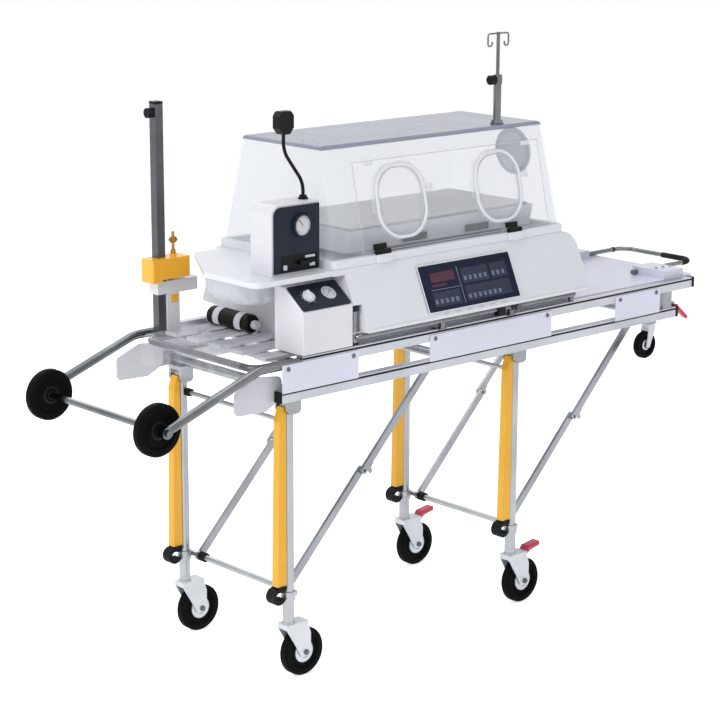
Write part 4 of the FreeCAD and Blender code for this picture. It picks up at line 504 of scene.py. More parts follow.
def add_block(shape, low, high, bevel, frame):
    """One box with rounded edges, added to a bmesh."""
    part = bmesh.new()
    bmesh.ops.create_cube(part, size=1)
    for vert in part.verts:
        vert.co = Vector([low[i] + (vert.co[i] + 0.5) * (high[i] - low[i]) for i in range(3)])
    if bevel:
        bmesh.ops.bevel(part, geom=part.edges[:], offset=bevel, segments=3, affect="EDGES",
                        profile=0.6)
    part.transform(frame)
    mesh = bpy.data.meshes.new("part")
    part.to_mesh(mesh)
    part.free()
    shape.from_mesh(mesh)
    bpy.data.meshes.remove(mesh)


def blocks(name, boxes, bevel, material, body, slot, frame=STATION):
    """Several rounded boxes, each given by two corners, as one piece."""
    shape = bmesh.new()
    for low, high in boxes:
        add_block(shape, low, high, bevel, frame)
    return keep(name, shape, material, body, slot)


def add_tube(shape, path, radius, frame, closed=False, sides=12):
    """Sweep a circle along a path; the radius is one number or one for each point."""
    points = [Vector(p) for p in path]
    count = len(points)
    across, rings = None, []
    for index, point in enumerate(points):
        ahead = points[(index + 1) % count] if closed or index < count - 1 else point
        behind = points[index - 1] if closed or index else point
        along = (ahead - behind).normalized()
        across = along.orthogonal() if across is None else across
        across = (across - along * across.dot(along)).normalized()
        other = along.cross(across)
        size = radius[index] if isinstance(radius, (list, tuple)) else radius
        rings.append([shape.verts.new(frame @ (point + size * (
            math.cos(math.tau * k / sides) * across + math.sin(math.tau * k / sides) * other)))
            for k in range(sides)])
    for index in range(count if closed else count - 1):
        here, there = rings[index], rings[(index + 1) % count]
        for k in range(sides):
            shape.faces.new((here[k], here[(k + 1) % sides], there[(k + 1) % sides], there[k]))
    if not closed:
        shape.faces.new(list(reversed(rings[0])))
        shape.faces.new(rings[-1])


def tubes(name, paths, radius, material, body, slot, frame=STATION, closed=False, sides=12):
    shape = bmesh.new()
    for path in paths:
        add_tube(shape, path, radius, frame, closed, sides)
    return keep(name, shape, material, body, slot, soft_shade=True)


def add_turned(shape, profile, frame, steps=40):
    """Revolve (radius, height) points round the frame's own Z axis."""
    rings = []
    for radius, height in profile:
        if radius < 0.01:
            rings.append([shape.verts.new(frame @ Vector((0, 0, height)))])
        else:
            turns = [math.tau * k / steps for k in range(steps)]
            rings.append([shape.verts.new(frame @ Vector((
                radius * math.cos(turn), radius * math.sin(turn), height))) for turn in turns])
    for here, there in zip(rings, rings[1:]):
        for k in range(steps):
            corners = [here[k % len(here)], here[(k + 1) % len(here)],
                       there[(k + 1) % len(there)], there[k % len(there)]]
            unique = list(dict.fromkeys(corners))
            if len(unique) > 2:
                shape.faces.new(unique)


def turned(name, profile, frames, material, body, slot, steps=40):
    shape = bmesh.new()
    for frame_here in frames:
        add_turned(shape, profile, frame_here, steps)
    return keep(name, shape, material, body, slot)


def rounded_loop(half_x, half_z, radius, y=0.0, centre=(0, 0), steps=10):
    """A closed rounded rectangle in the local X-Z plane."""
    points = []
    for quarter, (sx, sz) in enumerate(((1, 1), (-1, 1), (-1, -1), (1, -1))):
        for step in range(steps + 1):
            angle = math.pi / 2 * (quarter + step / steps)
            points.append((centre[0] + sx * (half_x - radius) + radius * math.cos(angle), y,
                           centre[1] + sz * (half_z - radius) + radius * math.sin(angle)))
    return points


print("helpers ready")

# %% [markdown]
# ## Rows of screws and ribs with Geometry Nodes
#
# Screw heads, slat ribs and the bars on the screen are one thing repeated by
# a rule, so they come from node groups. Two groups lay copies on a line, and
# a third folds a grid into a pleated ring. Each makes real mesh and paints
# it. The result is frozen to plain mesh at once, because the finished model
# carries no live modifier.

# %% The node groups for repeats
def geometry_group(name, inputs):
    group = bpy.data.node_groups.new(name, "GeometryNodeTree")
    group.interface.new_socket(name="Geometry", in_out="OUTPUT", socket_type="NodeSocketGeometry")
    for label, kind, value in inputs:
        socket = group.interface.new_socket(name=label, in_out="INPUT", socket_type=kind)
        if value is not None:
            socket.default_value = value
    return group, group.nodes.new("NodeGroupInput"), group.nodes.new("NodeGroupOutput")


def finish_group(group, given, result, last):
    """Make the copies real, paint them and hand them out."""
    real = add_node(group, "GeometryNodeRealizeInstances")
    paint = add_node(group, "GeometryNodeSetMaterial")
    wire(group, (last, 0, real, 0), (real, 0, paint, "Geometry"),
         (given, "Material", paint, "Material"), (paint, 0, result, "Geometry"))


LINE_INPUTS = [("Count", "NodeSocketInt", 4), ("Start", "NodeSocketVector", None),
               ("Step", "NodeSocketVector", None), ("Turn", "NodeSocketVector", None)]


def copies_on_line(group, given, result, item):
    """Set copies of one mesh along a straight line and finish the group."""
    line = add_node(group, "GeometryNodeMeshLine")
    line.mode = "OFFSET"
    copies = add_node(group, "GeometryNodeInstanceOnPoints")
    wire(group, (given, "Count", line, "Count"), (given, "Start", line, "Start Location"),
         (given, "Step", line, "Offset"), (line, 0, copies, "Points"),
         (item, "Mesh", copies, "Instance"), (given, "Turn", copies, "Rotation"))
    finish_group(group, given, result, copies)


def make_head_row():
    """Round heads with a chamfer, in a straight row."""
    group, given, result = geometry_group("row_of_heads", LINE_INPUTS + [
        ("Radius", "NodeSocketFloat", 0.005), ("Height", "NodeSocketFloat", 0.002),
        ("Material", "NodeSocketMaterial", None)])
    head = add_node(group, "GeometryNodeMeshCone", Vertices=18)
    narrow = add_node(group, "ShaderNodeMath", "MULTIPLY")
    narrow.inputs[1].default_value = 0.72
    wire(group, (given, "Radius", head, "Radius Bottom"), (given, "Radius", narrow, 0),
         (narrow, 0, head, "Radius Top"), (given, "Height", head, "Depth"))
    copies_on_line(group, given, result, head)
    return group


def make_bar_row():
    """Small bars in a straight row: ribs, keys and the bars of a display."""
    group, given, result = geometry_group("row_of_bars", LINE_INPUTS + [
        ("Size", "NodeSocketVector", None), ("Material", "NodeSocketMaterial", None)])
    bar = add_node(group, "GeometryNodeMeshCube")
    wire(group, (given, "Size", bar, "Size"))
    copies_on_line(group, given, result, bar)
    return group


def make_pleat_group():
    """A flat ring folded into spiral pleats, like the sleeve of an iris port."""
    group, given, result = geometry_group("pleated_ring", [
        ("Inner Radius", "NodeSocketFloat", 0.017), ("Outer Radius", "NodeSocketFloat", 0.05),
        ("Pleats", "NodeSocketFloat", 24.0), ("Twist", "NodeSocketFloat", 1.6),
        ("Depth", "NodeSocketFloat", 0.002), ("Material", "NodeSocketMaterial", None)])

    def calc(operation, first, second=None, third=None):
        item = group.nodes.new("ShaderNodeMath")
        item.operation = operation
        for socket, value in zip(item.inputs, (first, second, third)):
            if isinstance(value, (int, float)):
                socket.default_value = value
            elif value is not None:
                group.links.new(value, socket)
        return item.outputs[0]

    grid = add_node(group, "GeometryNodeMeshGrid", Size_X=1, Size_Y=1, Vertices_X=241,
                    Vertices_Y=12)
    place = add_node(group, "GeometryNodeInputPosition")
    split = add_node(group, "ShaderNodeSeparateXYZ")
    wire(group, (place, 0, split, 0))
    angle = calc("MULTIPLY", split.outputs["X"], math.tau)
    outward = calc("ADD", split.outputs["Y"], 0.5)
    width = calc("SUBTRACT", given.outputs["Outer Radius"], given.outputs["Inner Radius"])
    radius = calc("MULTIPLY_ADD", outward, width, given.outputs["Inner Radius"])
    turned_on = calc("MULTIPLY_ADD", outward, given.outputs["Twist"], angle)
    wave = calc("SINE", calc("MULTIPLY", turned_on, given.outputs["Pleats"]))
    rise = calc("MULTIPLY", calc("MULTIPLY", wave, given.outputs["Depth"]),
                calc("MULTIPLY", outward, calc("SUBTRACT", 1.15, outward)))
    join = add_node(group, "ShaderNodeCombineXYZ")
    for socket, value in zip(join.inputs, (calc("MULTIPLY", calc("COSINE", angle), radius),
                                           calc("MULTIPLY", calc("SINE", angle), radius),
                                           calc("MULTIPLY", rise, 4.0))):
        group.links.new(value, socket)
    bend = add_node(group, "GeometryNodeSetPosition")
    weld = add_node(group, "GeometryNodeMergeByDistance")
    wire(group, (grid, "Mesh", bend, "Geometry"), (join, 0, bend, "Position"),
         (bend, 0, weld, "Geometry"))
    finish_group(group, given, result, weld)
    return group


def evaluated(piece):
    bpy.context.view_layer.update()
    return piece.evaluated_get(bpy.context.evaluated_depsgraph_get())


def freeze(piece):
    """Make plain mesh of what the modifiers of a piece give."""
    piece.data = bpy.data.meshes.new_from_object(evaluated(piece))
    piece.modifiers.clear()
    return piece.data


def grow(name, group, body, slot, frame=None, **values):
    """Run a node group on an empty mesh and keep its result as plain mesh."""
    piece = link_object(name, bpy.data.meshes.new(name))
    nodes_on = piece.modifiers.new("rule", "NODES")
    nodes_on.node_group = group
    names = {item.name: item.identifier for item in group.interface.items_tree
             if item.in_out == "INPUT"}
    for label, value in values.items():
        nodes_on[names[label.replace("_", " ")]] = value
    mesh = freeze(piece)
    if frame is not None:
        mesh.transform(frame)
    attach(piece, body)
    return piece


HEADS, BARS, PLEATS = make_head_row(), make_bar_row(), make_pleat_group()


def station(x, y, z):
    return (FRONT_AXIS_X + x / 1000, y / 1000, z / 1000)


print("node groups:", HEADS.name, BARS.name, PLEATS.name)

# %% [markdown]
# ## Rails, plates and deck
#
# The side rails are extruded aluminium. A dark cover strip runs in the
# groove of each, rubber caps close the open ends, and the white plates are
# held with cap screws. Two looks come back all over the trolley, so each gets
# a short name for its finish, its body and a slot name, which nothing reads.

# %% Groove strips, end caps and screws
BLACK = (black_plastic, "trolley", "black_plastic")
PALE = (ledge_grey, "trolley", "white_moulding")
RAILS = ((775, -62, 1468), (855, 6, 1538))
PLATE_SCREWS = ((-44, 175), (468, 903), (1212, 1372))
SLAT_PITCH = 92


def mirrored(boxes):
    """Boxes of the near side, which is at -Y, and their images on the far side."""
    return boxes + [((low[0], -high[1], low[2]), (high[0], -low[1], high[2]))
                    for low, high in boxes]


strips = [((start + 1, -271.7, height + 7.2), (stop - 1, -270.9, height + 10.8))
          for height, start, stop in RAILS]
caps = [((stop + 0.4, -272.5, height - 15.5), (stop + 13, -246.5, height + 15.5))
        for height, start, stop in RAILS]
caps.append(((-68, -271.8, 760.5), (-62.3, -247.2, 789.5)))
blocks("rail_groove_strips", mirrored(strips), 0.2, *BLACK)
blocks("rail_end_caps", mirrored(caps), 2.2, rubber, "trolley", "black_rubber")
for label, side in (("near", -1), ("far", 1)):
    for number, (first, last) in enumerate(PLATE_SCREWS):
        grow("plate_screws_%s_%d" % (label, number), HEADS, "trolley", "grey_steel", Count=2,
             Start=station(first, side * 276.0, 847), Step=((last - first) / 1000, 0, 0),
             Turn=(-side * math.pi / 2, 0, 0), Radius=0.0062, Height=0.0024, Material=steel)
for number in range(5):
    grow("slat_ribs_%d" % number, BARS, "trolley", "white_paint", Count=5,
         Start=station(40, (number - 2) * SLAT_PITCH - 16, 866.2), Step=(0, 0.008, 0),
         Turn=(0, 0, 0), Size=(0.176, 0.0022, 0.0016), Material=ledge_grey)
for label, side in (("near", -1), ("far", 1)):
    grow("guide_screws_" + label, HEADS, "trolley", "grey_steel", Count=3,
         Start=station(1452, side * 205, 899), Step=(0.032, 0, 0), Turn=(0, 0, 0), Radius=0.005,
         Height=0.0022, Material=steel)
print("rail trims ready")

# %% [markdown]
# ## Wheels and casters
#
# The caster wheels have a grey hub disc over the bearing, and a hub nut that
# shows on both sides of the fork. The loading wheels have a plain dished
# hub.

# %% Hubs and nuts
def along_y(x, y, z):
    """A frame whose own Z axis points along the trolley's Y axis."""
    return local_frame(x, y, z, -math.pi / 2, "X")


def hub_profile(half, outer):
    """A shallow dished disc, the same on both sides of the wheel."""
    side = [(5.3, half), (outer * 0.42, half), (outer * 0.55, half - 2.2),
            (outer * 0.9, half - 3.4), (outer, half - 5)]
    return [(radius, -y) for radius, y in side] + side[::-1] + [(5.3, -half)]


REAR_STATION = 830
LOADER_X, LOADER_Y, LOADER_AXLE = -418, 228, 750
SMALL_CASTER_AXLE = (REAR_STATION + 515, -259.5, 692)
CASTER_TRAIL, CASTER_AXLE, CASTER_Y = 44, 65, 219
NUT_OUT = 20.2
for end, axis_x in (("front", 0), ("rear", REAR_STATION)):
    for hand, side in (("left", -1), ("right", 1)):
        name, wheel_x, wheel_y = "%s_%s" % (end, hand), axis_x + CASTER_TRAIL, side * CASTER_Y
        turned(name + "_hub", hub_profile(16.6, 30), [along_y(wheel_x, wheel_y, CASTER_AXLE)],
               fork_grey, name + "_roller", "grey_arm")
        turned(name + "_nuts", [(0.001, 0), (8, 0), (8, 4), (6.4, 5.4), (0.001, 5.4)],
               [along_y(wheel_x, wheel_y + NUT_OUT, CASTER_AXLE),
                local_frame(wheel_x, wheel_y - NUT_OUT, CASTER_AXLE, math.pi / 2, "X")],
               steel, name + "_caster", "grey_steel", steps=6)
for hand, side in (("left", -1), ("right", 1)):
    turned(hand + "_loader_hub", hub_profile(13.4, 24),
           [along_y(LOADER_X, side * LOADER_Y, LOADER_AXLE)], black_plastic, hand + "_loader",
           "black_plastic")
turned("small_hub", hub_profile(11.4, 16), [along_y(*SMALL_CASTER_AXLE)], fork_grey,
       "small_roller", "grey_arm")
print("hubs ready")

# %% [markdown]
# ## The screen and its plain graphics
#
# The display lies behind dark glass in the sloping face of the base. Its
# picture is replaced by plain blocks: a few fields, some bars and a divider,
# each a thin raised piece, so the screen reads as a screen and says nothing.

# %% Screen blocks and bezel
GLASS_FACE, FIELD_FRONT, DIVIDER_FRONT, BAR_MIDDLE = -2.9, -3.4, -3.6, -3.65


def on_glass(areas, front):
    """Flat boxes on the display glass from (left, low, right, high)."""
    return [((left, front, low), (right, GLASS_FACE, high)) for left, low, right, high in areas]


tubes("screen_bezel", [rounded_loop(172.6, 64.2, 5, -3.4, (172, 71.5))], 1.5, moulding, "trolley",
      "white_moulding", SCREEN, closed=True, sides=8)
for name, areas, front, bevel, material in (
        ("screen_fields", [(150, 22, 320, 64), (150, 70, 250, 112), (258, 70, 320, 112),
                           (28, 20, 128, 60)], FIELD_FRONT, 0.15, screen_ink),
        ("screen_alarm_field", [(36, 86, 124, 112), (36, 74, 88, 81)], FIELD_FRONT, 0.15,
         screen_red),
        ("screen_divider", [(137, 18, 139.5, 120), (28, 65, 132, 67)], DIVIDER_FRONT, 0.1,
         screen_pale)):
    blocks(name, on_glass(areas, front), bevel, material, "trolley", "screen_glass", SCREEN)
for number, (x, z, count) in enumerate(((160, 34, 7), (160, 84, 5), (266, 84, 3), (36, 34, 5))):
    grow("screen_bars_%d" % number, BARS, "trolley", "screen_glass", Count=count,
         Start=tuple(SCREEN @ Vector((x, BAR_MIDDLE, z))), Step=(0.019, 0, 0),
         Turn=(-SCREEN_TILT, 0, 0), Size=(0.010, 0.0004, 0.012), Material=screen_pale)
grow("screen_keys", BARS, "trolley", "black_plastic", Count=6,
     Start=tuple(SCREEN @ Vector((62, -0.6, -0.4))), Step=(0.044, 0, 0), Turn=(-SCREEN_TILT, 0, 0),
     Size=(0.016, 0.0012, 0.005), Material=ledge_grey)
print("screen ready")

# %% [markdown]
# ## Gauges, dial marks and the cabinet's recess
#
# A pressure gauge is a white disc behind glass with a ring of ticks and a
# needle. The control box has a second round dial, and its knob points to a
# ring of small marks.

# %% Gauges and marks
def ring_marks(name, frame, radius, count, arc, size, material, body, slot):
    """Radial ticks over an arc in degrees, every fifth one longer, as one piece."""
    shape = bmesh.new()
    long, wide, thick = size
    for index in range(count):
        angle = math.radians(arc[0] + (arc[1] - arc[0]) * index / (count - 1))
        reach = long * (1.6 if index % 5 == 0 else 1.0)
        add_block(shape, (radius - reach, -wide / 2, 0), (radius, wide / 2, thick), 0,
                  frame @ Matrix.Rotation(angle, 4, "Z"))
    return keep(name, shape, material, body, slot)


def facing_front(x, y, z):
    """A frame on a vertical front, with its own Z axis pointing out of it."""
    return local_frame(x, y, z, math.pi / 2, "X")


def spun(degrees):
    """A turn round the frame's own Z axis."""
    return Matrix.Rotation(math.radians(degrees), 4, "Z")


GAUGE = facing_front(65, -204.2, 1188.3)
PANEL_FACE = PANEL @ Matrix.Translation((0, -3.1, 0)) @ Matrix.Rotation(math.pi / 2, 4, "X")
DIAL = PANEL_FACE @ Matrix.Translation((46, 45, 0))
SMALL_GAUGE = PANEL_FACE @ Matrix.Translation((116, 48, 0))
GAUGE_ARC, DIAL_ARC = (-45, 225), (-60, 240)

turned("gauge_face", [(0.001, 0), (25.4, 0), (25.4, 1.2), (0.001, 1.2)], [GAUGE], *PALE)
turned("gauge_bezel", [(25.7, 0.3), (25.7, 4.4), (28, 5), (30.6, 4.2), (30.8, -3), (30.2, -3),
                       (30.2, 3.9), (26.1, 3.9), (26.1, 0.3), (25.7, 0.3)], [GAUGE], navy_panel,
       "trolley", "black_plastic", steps=64)
ring_marks("gauge_ticks", GAUGE @ Matrix.Translation((0, 0, 1.2)), 23.5, 31, GAUGE_ARC,
           (3.2, 0.7, 0.3), *BLACK)
blocks("gauge_needle", [((-1, -0.9, 2), (19, 0.9, 2.8))], 0.3, red_plastic, "trolley",
       "red_plastic", GAUGE @ spun(128))
ring_marks("dial_marks", DIAL, 23.5, 11, DIAL_ARC, (3.0, 1.0, 0.4), *PALE)
turned("small_gauge_face", [(0.001, 0), (21, 0), (21, 1.6), (18, 2.4), (18, 1.0), (0.001, 1.0)],
       [SMALL_GAUGE], *PALE)
ring_marks("small_gauge_ticks", SMALL_GAUGE @ Matrix.Translation((0, 0, 1.0)), 16.5, 21, GAUGE_ARC,
           (2.4, 0.6, 0.3), *BLACK)
blocks("small_gauge_needle", [((-1, -0.7, 1.6), (13, 0.7, 2.3))], 0.2, *BLACK,
       SMALL_GAUGE @ spun(40))
blocks("recess_back", [((-2, -198.0, 1077), (117, -197.6, 1115.6))], 0, *BLACK)
blocks("recess_fittings", [((6, -203, 1080), (16, -196.5, 1092)),
                           ((92, -203.5, 1082), (108, -196.5, 1090)),
                           ((78, -201, 1104), (110, -196.5, 1110))], 1.2, *PALE)
turned("post_collar", [(10.3, 0), (12.2, 0.6), (12.2, 5), (10.3, 5.6), (10.3, 0)],
       [local_frame(190, -259.5, 872)], *BLACK)
print("gauges ready")

# %% [markdown]
# ## Hood trims, port cuffs and hinges
#
# Each hand port has a soft white cuff round its oval cover and a latch. The
# door turns in two black hinge blocks at its foot and is held by two latches
# at its top. A pale trim runs round the edge of the door.

# %% Cuffs, latches and edge trims
PORT_UP = 151
DOOR_LEFT, DOOR_RIGHT, DOOR_FOOT, DOOR_TOP = 262.5, 959.5, 27.5, 264.5
HINGE_STARTS, LATCH_STARTS = (293, 785), (300, 890)
TRIM_BACK, TRIM_FRONT, TRIM_WIDE = -0.1, -0.6, 2
ON_END = Matrix.Rotation(math.pi / 2, 4, "Y")

for hand, centre in (("left", 412), ("right", 777)):
    body = hand + "_port"
    tubes(body + "_cuff", [rounded_loop(85, 95, 74, -7.2, (centre, PORT_UP), 14)], 4.6, moulding,
          body, "white_moulding", WALL, closed=True, sides=14)
    tubes(body + "_inner_ring", [rounded_loop(77, 87, 68, -4.6, (centre, PORT_UP), 14)], 1.4,
          ledge_grey, body, "white_moulding", WALL, closed=True, sides=8)
    blocks(body + "_latch", [((centre + 96, -13.5, 165), (centre + 112, -10.6, 183))], 1.2,
           moulding, body, "white_moulding", WALL)
covers = bmesh.new()
for start in HINGE_STARTS:
    add_turned(covers, [(0.001, -1.5), (6.2, -1.5), (7, -0.7), (7, 46.7), (6.2, 47.5),
                        (0.001, 47.5)], WALL @ Matrix.Translation((start, -14, 26)) @ ON_END, 28)
    add_block(covers, (start + 2, -9, 33), (start + 44, -0.4, 48), 2.2, WALL)
keep("door_hinge_covers", covers, black_plastic, "door", "black_plastic")
blocks("door_latches", [((start, -6, 252), (start + 30, -0.2, 264)) for start in LATCH_STARTS],
       1.6, moulding, "door", "white_moulding", WALL)
edges = ((DOOR_LEFT, DOOR_FOOT, DOOR_LEFT + TRIM_WIDE, DOOR_TOP),
         (DOOR_RIGHT - TRIM_WIDE, DOOR_FOOT, DOOR_RIGHT, DOOR_TOP),
         (DOOR_LEFT, DOOR_TOP - TRIM_WIDE, DOOR_RIGHT, DOOR_TOP),
         (DOOR_LEFT, DOOR_FOOT, DOOR_RIGHT, DOOR_FOOT + TRIM_WIDE))
blocks("door_edge_trim", [((left, TRIM_FRONT, low), (right, TRIM_BACK, high))
                          for left, low, right, high in edges], 0.15, ledge_grey, "door",
       "white_moulding", WALL)
turned("iris_knob_cap", [(0.001, 14.6), (9, 14.6), (13, 14.2), (14.6, 13.2), (14.6, 12.4)],
       [HOOD_END @ ON_END], ledge_grey, "iris", "white_moulding")
in_metres = Matrix.Diagonal((1000, 1000, 1000, 1))
grow("iris_sleeve", PLEATS, "iris", "white_moulding",
     HOOD_END @ Matrix.Translation((4.4, 0, 0)) @ ON_END @ in_metres, Inner_Radius=0.0172,
     Outer_Radius=0.0508, Pleats=22.0, Twist=1.4, Depth=0.0018, Material=moulding)
print("hood trims ready")

# %% [markdown]
# ## Clamps, grips and caps
#
# The small black and silver parts are what the eye finds first on a medical
# trolley: clamps on the grab rail, a grip sleeve on the pull-out handle, a
# dark steel skin over the curved nose tube that paints the shade on it, and a
# cap on the mast.

# %% Clamps, grips and caps
HANDLE_Y, HANDLE_Z, HANDLE_BEND = 140, 881, 42
NOSE_Z, NOSE_BEND, MAST_Y = 847, 32, 221
BOTTLE_X, BOTTLE_Z, STRAP_RADIUS, STRAP_HALF = 88, 892.3, 26.7, 12
TRAY_X, TRAY_SLOTS = 262, ((193.5, 282.5), (428, 517.5))


def quarter(x, y, z, radius, away, first=0):
    """Points of a bend round (x, y), from along X to along Y; away is 1 or -1."""
    angles = [math.radians(degrees) for degrees in range(first, 91, 9)]
    return [(x + away * radius * math.sin(angle), y - radius * math.cos(angle), z)
            for angle in angles]


blocks("rail_clamp_black", [((694, -288, 876), (722, -270, 903))], 3, *BLACK)
clamp = bmesh.new()
add_block(clamp, (752, -289, 885), (778, -268.5, 902), 2.5, STATION)
add_turned(clamp, [(0.001, 0), (8.5, 0), (9.5, 1), (9.5, 9), (8.5, 10), (0.001, 10)],
           facing_front(765, -288.6, 893.5), 24)
keep("rail_clamp_silver", clamp, steel, "trolley", "grey_steel")
grip = [(1652, -HANDLE_Y, HANDLE_Z), (1656, -HANDLE_Y, HANDLE_Z)]
grip += quarter(1663, HANDLE_BEND - HANDLE_Y, HANDLE_Z, HANDLE_BEND, 1)
grip += [(1705, -70, HANDLE_Z), (1705, -20, HANDLE_Z)]
tubes("handle_grip", [grip], 8.5, rubber, "pull_handle", "black_rubber", sides=18)
turned("handle_stop", [(7.2, -3), (8.2, -3), (8.6, -2), (8.6, 2), (8.2, 3), (7.2, 3), (7.2, -3)],
       [local_frame(1655, HANDLE_Y, HANDLE_Z, math.pi / 2, "Y")], black_plastic, "pull_handle",
       "black_plastic")
nose = [(4, -MAST_Y, NOSE_Z), (-80, -MAST_Y, NOSE_Z)]
nose += quarter(-80, NOSE_BEND - MAST_Y, NOSE_Z, NOSE_BEND, -1, first=9)
nose += [(x, -y, z) for x, y, z in reversed(nose)]
# A dark steel skin just over the plated nose tube: painted shade on the tube.
tubes("nose_tube_painted_shade", [nose], 9.35, steel, "trolley", "grey_steel", sides=20)
blocks("mast_cap", [((-80.2, 207.8, 1466.2), (-53.8, 234.2, 1473))], 2, *BLACK)
blocks("clamp_window", [((-43, 201.6, 940), (-20, 202.4, 962))], 0.3, amber_metal, "trolley",
       "yellow_metal")
turned("bottle_cap", [(0.001, 0), (11, 0), (12, 1), (12, 14), (9, 17), (0.001, 17)],
       [facing_front(BOTTLE_X, 19.6, BOTTLE_Z)], *PALE)
turns = [math.pi * (-0.22 + 1.44 * k / 32) for k in range(33)]
band = [(STRAP_RADIUS * math.cos(turn) + BOTTLE_X, BOTTLE_Z + STRAP_RADIUS * math.sin(turn))
        for turn in turns]
straps = bmesh.new()
for y in (60, 150):
    low, high = y - STRAP_HALF, y + STRAP_HALF
    for (x0, z0), (x1, z1) in zip(band, band[1:]):
        corners = ((x0, low, z0), (x1, low, z1), (x1, high, z1), (x0, high, z0))
        straps.faces.new([straps.verts.new(STATION @ Vector(corner)) for corner in corners])
bmesh.ops.remove_doubles(straps, verts=straps.verts[:], dist=0.0002)
bmesh.ops.solidify(straps, geom=straps.faces[:], thickness=-0.0012)
keep("bottle_straps", straps, *PALE)
blocks("base_seam", [((142, -300.7, 913.5), (1044, -300.2, 915))], 0.1, *PALE)
turned("pole_foot_ring", [(16.2, 0), (19, 0.4), (19, 3.4), (16.2, 4), (16.2, 0)],
       [local_frame(840, -127, 1372.4)], steel, "hood_shell", "grey_steel")
turned("lamp_foot_ring", [(10.3, 0), (13, 0.4), (13, 4), (10.3, 5), (10.3, 0)],
       [local_frame(112, -152, 1244.8)], black_plastic, "lamp", "black_plastic")
blocks("tray_slot_shadow", [((TRAY_X + start, -160.6, 1091.6), (TRAY_X + stop, -160.2, 1111))
                            for start, stop in TRAY_SLOTS], 0, *BLACK)
print("small parts ready")

# %% [markdown]
# ## The mattress
#
# The pad is a foam core in a welded cover. Foam pushes the cover outwards,
# most in the middle of each face and least at the corners, so the top is
# crowned and the sides pull in between the corners. A short cloth
# simulation with pressure gives that, and the movement is capped so the pad
# stays in its tray. A piping runs round the top edge.

# %% Swell the pad
PAD_LOW, PAD_HIGH = (272.5, -152.5, 1127.0), (941.5, 152.5, 1151.0)
shape = bmesh.new()
add_block(shape, PAD_LOW, PAD_HIGH, 7, STATION)
pad_mesh = bpy.data.meshes.new("mattress_pad")
shape.to_mesh(pad_mesh)
shape.free()
pad = link_object("mattress_pad", pad_mesh)
voxels = pad.modifiers.new("voxels", "REMESH")
voxels.mode = "VOXEL"
voxels.voxel_size = 0.006
freeze(pad)
rest = [vert.co.copy() for vert in pad.data.vertices]
swell = pad.modifiers.new("swell", "CLOTH")
swell.settings.use_pressure = True
swell.settings.uniform_pressure_force = 4
swell.settings.effector_weights.gravity = 0
for frame_number in range(1, 21):
    scene.frame_set(frame_number)
moved = [vert.co.copy() for vert in evaluated(pad).data.vertices]
pad.modifiers.clear()
scene.frame_set(1)
PAD_CAP, PAD_CROWN, PAD_GROWTH = 0.005, 0.0035, 0.0022
PAD_LIFT = (1.1268, 1.158)
middle = Vector(((PAD_LOW[0] + PAD_HIGH[0]) / 2000 + FRONT_AXIS_X, 0, 1.139))
half = Vector(((PAD_HIGH[0] - PAD_LOW[0]) / 2000, 0.1525, 0.012))
for vert, start, now in zip(pad.data.vertices, rest, moved):
    step = now - start
    if step.length > PAD_CAP:
        step = step.normalized() * PAD_CAP
    spot = start - middle
    crown = max(0.0, 1 - (spot.x / half.x) ** 4) * max(0.0, 1 - (spot.y / half.y) ** 4)
    place = start + step * 0.6
    if spot.z > 0:
        place.z += PAD_CROWN * crown * (spot.z / half.z)
    place.x = min(max(place.x, middle.x - half.x - PAD_GROWTH), middle.x + half.x + PAD_GROWTH)
    place.y = min(max(place.y, -half.y - PAD_GROWTH), half.y + PAD_GROWTH)
    place.z = min(max(place.z, PAD_LIFT[0]), PAD_LIFT[1])
    vert.co = place
finer = pad.modifiers.new("finer", "SUBSURF")
finer.levels = 1
freeze(pad)
pad.data.materials.clear()
pad.data.materials.append(cloth)
pad.data.shade_smooth()
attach(pad, "trolley")
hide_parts("mattress")
PAD_MIDDLE_X = (PAD_LOW[0] + PAD_HIGH[0]) / 2
piping = [(PAD_MIDDLE_X + x, y, 1146.5) for x, unused, y in rounded_loop(335.5, 153.6, 9)]
tubes("mattress_piping", [piping], 1.5, ledge_grey, "trolley", "mattress_foam", closed=True,
      sides=8)
print("mattress:", len(pad.data.polygons), "faces")

# %% [markdown]
# ## The film supply bag
#
# The bag is thin film that hangs under the side shelf. Its rim is held
# level, its belly sags between, and the film gathers in creases that run
# from the rim down to the lowest point. We loft it as rings from the rim to
# the belly and push each ring in and out along the creases.

# %% Loft the bag
BAG_X, BAG_Y, BAG_RIM_Z = 22.5, -52.5, 1051.4
BAG_HALF_X, BAG_HALF_Y, BAG_HANG = 108, 88, 78


def bag_point(turn, depth):
    """A point on the bag: an angle round it and a depth from 0 at the rim to 1 below."""
    narrow = 1 - 0.82 * depth ** 2.6
    square = (abs(math.cos(turn)) ** 4 + abs(math.sin(turn)) ** 4) ** -0.25
    crease = (math.sin(9 * turn + 3 * depth) + 0.6 * math.sin(17 * turn - 5 * depth)
              + 0.35 * math.sin(31 * turn + 9 * depth))
    reach = narrow * square * (1 + 0.022 * crease * math.sin(math.pi * min(depth * 1.15, 1)))
    x = BAG_X + BAG_HALF_X * reach * math.cos(turn) + 6 * depth * math.sin(2 * turn)
    y = BAG_Y + BAG_HALF_Y * reach * math.sin(turn)
    sag = BAG_HANG * (1 - (1 - depth) ** 1.7)
    return Vector((x, y, BAG_RIM_Z - sag - 2.2 * crease * depth * (1 - depth) * 2))


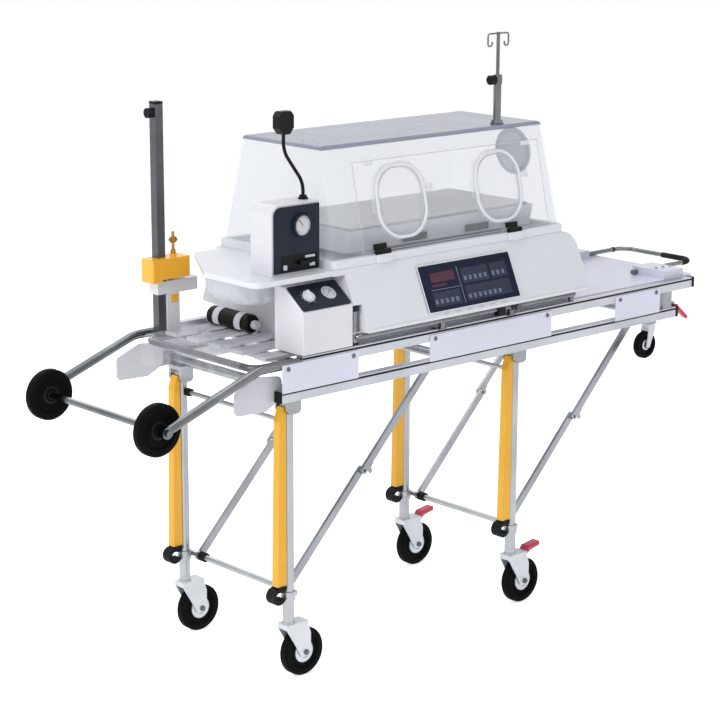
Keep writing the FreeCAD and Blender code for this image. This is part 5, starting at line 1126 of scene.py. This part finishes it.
BAG_ROUND, BAG_DOWN = 120, 22
bag = bmesh.new()
rings = [[bag.verts.new(STATION @ bag_point(math.tau * k / BAG_ROUND, level / BAG_DOWN))
          for k in range(BAG_ROUND)] for level in range(BAG_DOWN + 1)]
for here, there in zip(rings, rings[1:]):
    for k in range(BAG_ROUND):
        bag.faces.new((here[k], here[(k + 1) % BAG_ROUND], there[(k + 1) % BAG_ROUND], there[k]))
bag.faces.new(rings[-1])
bag.faces.new(list(reversed(rings[0])))
bag_piece = keep("film_supply_bag", bag, film, "trolley", "film_bag", soft_shade=True)
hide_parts("supply_bag")
print("film bag:", len(bag_piece.data.polygons), "faces")

# %% [markdown]
# ## The film over the front platform
#
# A sheet of protective film lies over the front edge of the platform and
# hangs down ahead of the curved nose tube. It keeps the folds it was packed
# with, and its free edge ripples. The sheet is made from its flat size: the
# same width all along, laid over the slats, bent over the tube and hung.

# %% Drape the film
SHEET_WIDE, SHEET_LONG = 0.40, 0.20
SHEET_START_X, SHEET_TOP_Z, FLAT_RUN, TUBE_BEND = -12, 869.3, 112.0, 18.0
ACROSS, ALONG = 90, 60


def film_point(across, along):
    """A point of the film: across from 0 to 1, along from the slats to the free edge."""
    run = along * SHEET_LONG * 1000
    y = (across - 0.5) * SHEET_WIDE * 1000
    arc = TUBE_BEND * math.pi / 2
    if run < FLAT_RUN:
        x, z = SHEET_START_X - run, SHEET_TOP_Z
    elif run < FLAT_RUN + arc:
        angle = (run - FLAT_RUN) / TUBE_BEND
        x = SHEET_START_X - FLAT_RUN - TUBE_BEND * math.sin(angle)
        z = SHEET_TOP_Z - TUBE_BEND * (1 - math.cos(angle))
    else:
        x = SHEET_START_X - FLAT_RUN - TUBE_BEND
        z = SHEET_TOP_Z - TUBE_BEND - (run - FLAT_RUN - arc)
    hang = max(0.0, (run - FLAT_RUN) / (SHEET_LONG * 1000 - FLAT_RUN))
    ripple = 5.0 * math.sin(across * 17 + 1.2) + 2.4 * math.sin(across * 39 + 3 * along)
    x += hang * ripple - 2 * hang
    if run < FLAT_RUN:
        z += 1.6 * max(0.0, math.sin(across * 23 + along * 4)) * (run / FLAT_RUN)
    return Vector((x, y, z))


drape = bmesh.new()
grid = [[drape.verts.new(STATION @ film_point(i / ACROSS, j / ALONG)) for i in range(ACROSS + 1)]
        for j in range(ALONG + 1)]
for here, there in zip(grid, grid[1:]):
    for i in range(ACROSS):
        drape.faces.new((here[i], here[i + 1], there[i + 1], there[i]))
nose_film = keep("nose_film", drape, thin_film, "trolley", "film_bag", soft_shade=True)
print("nose film:", len(nose_film.data.polygons), "faces")

# %% Finish
print("scene dressed")
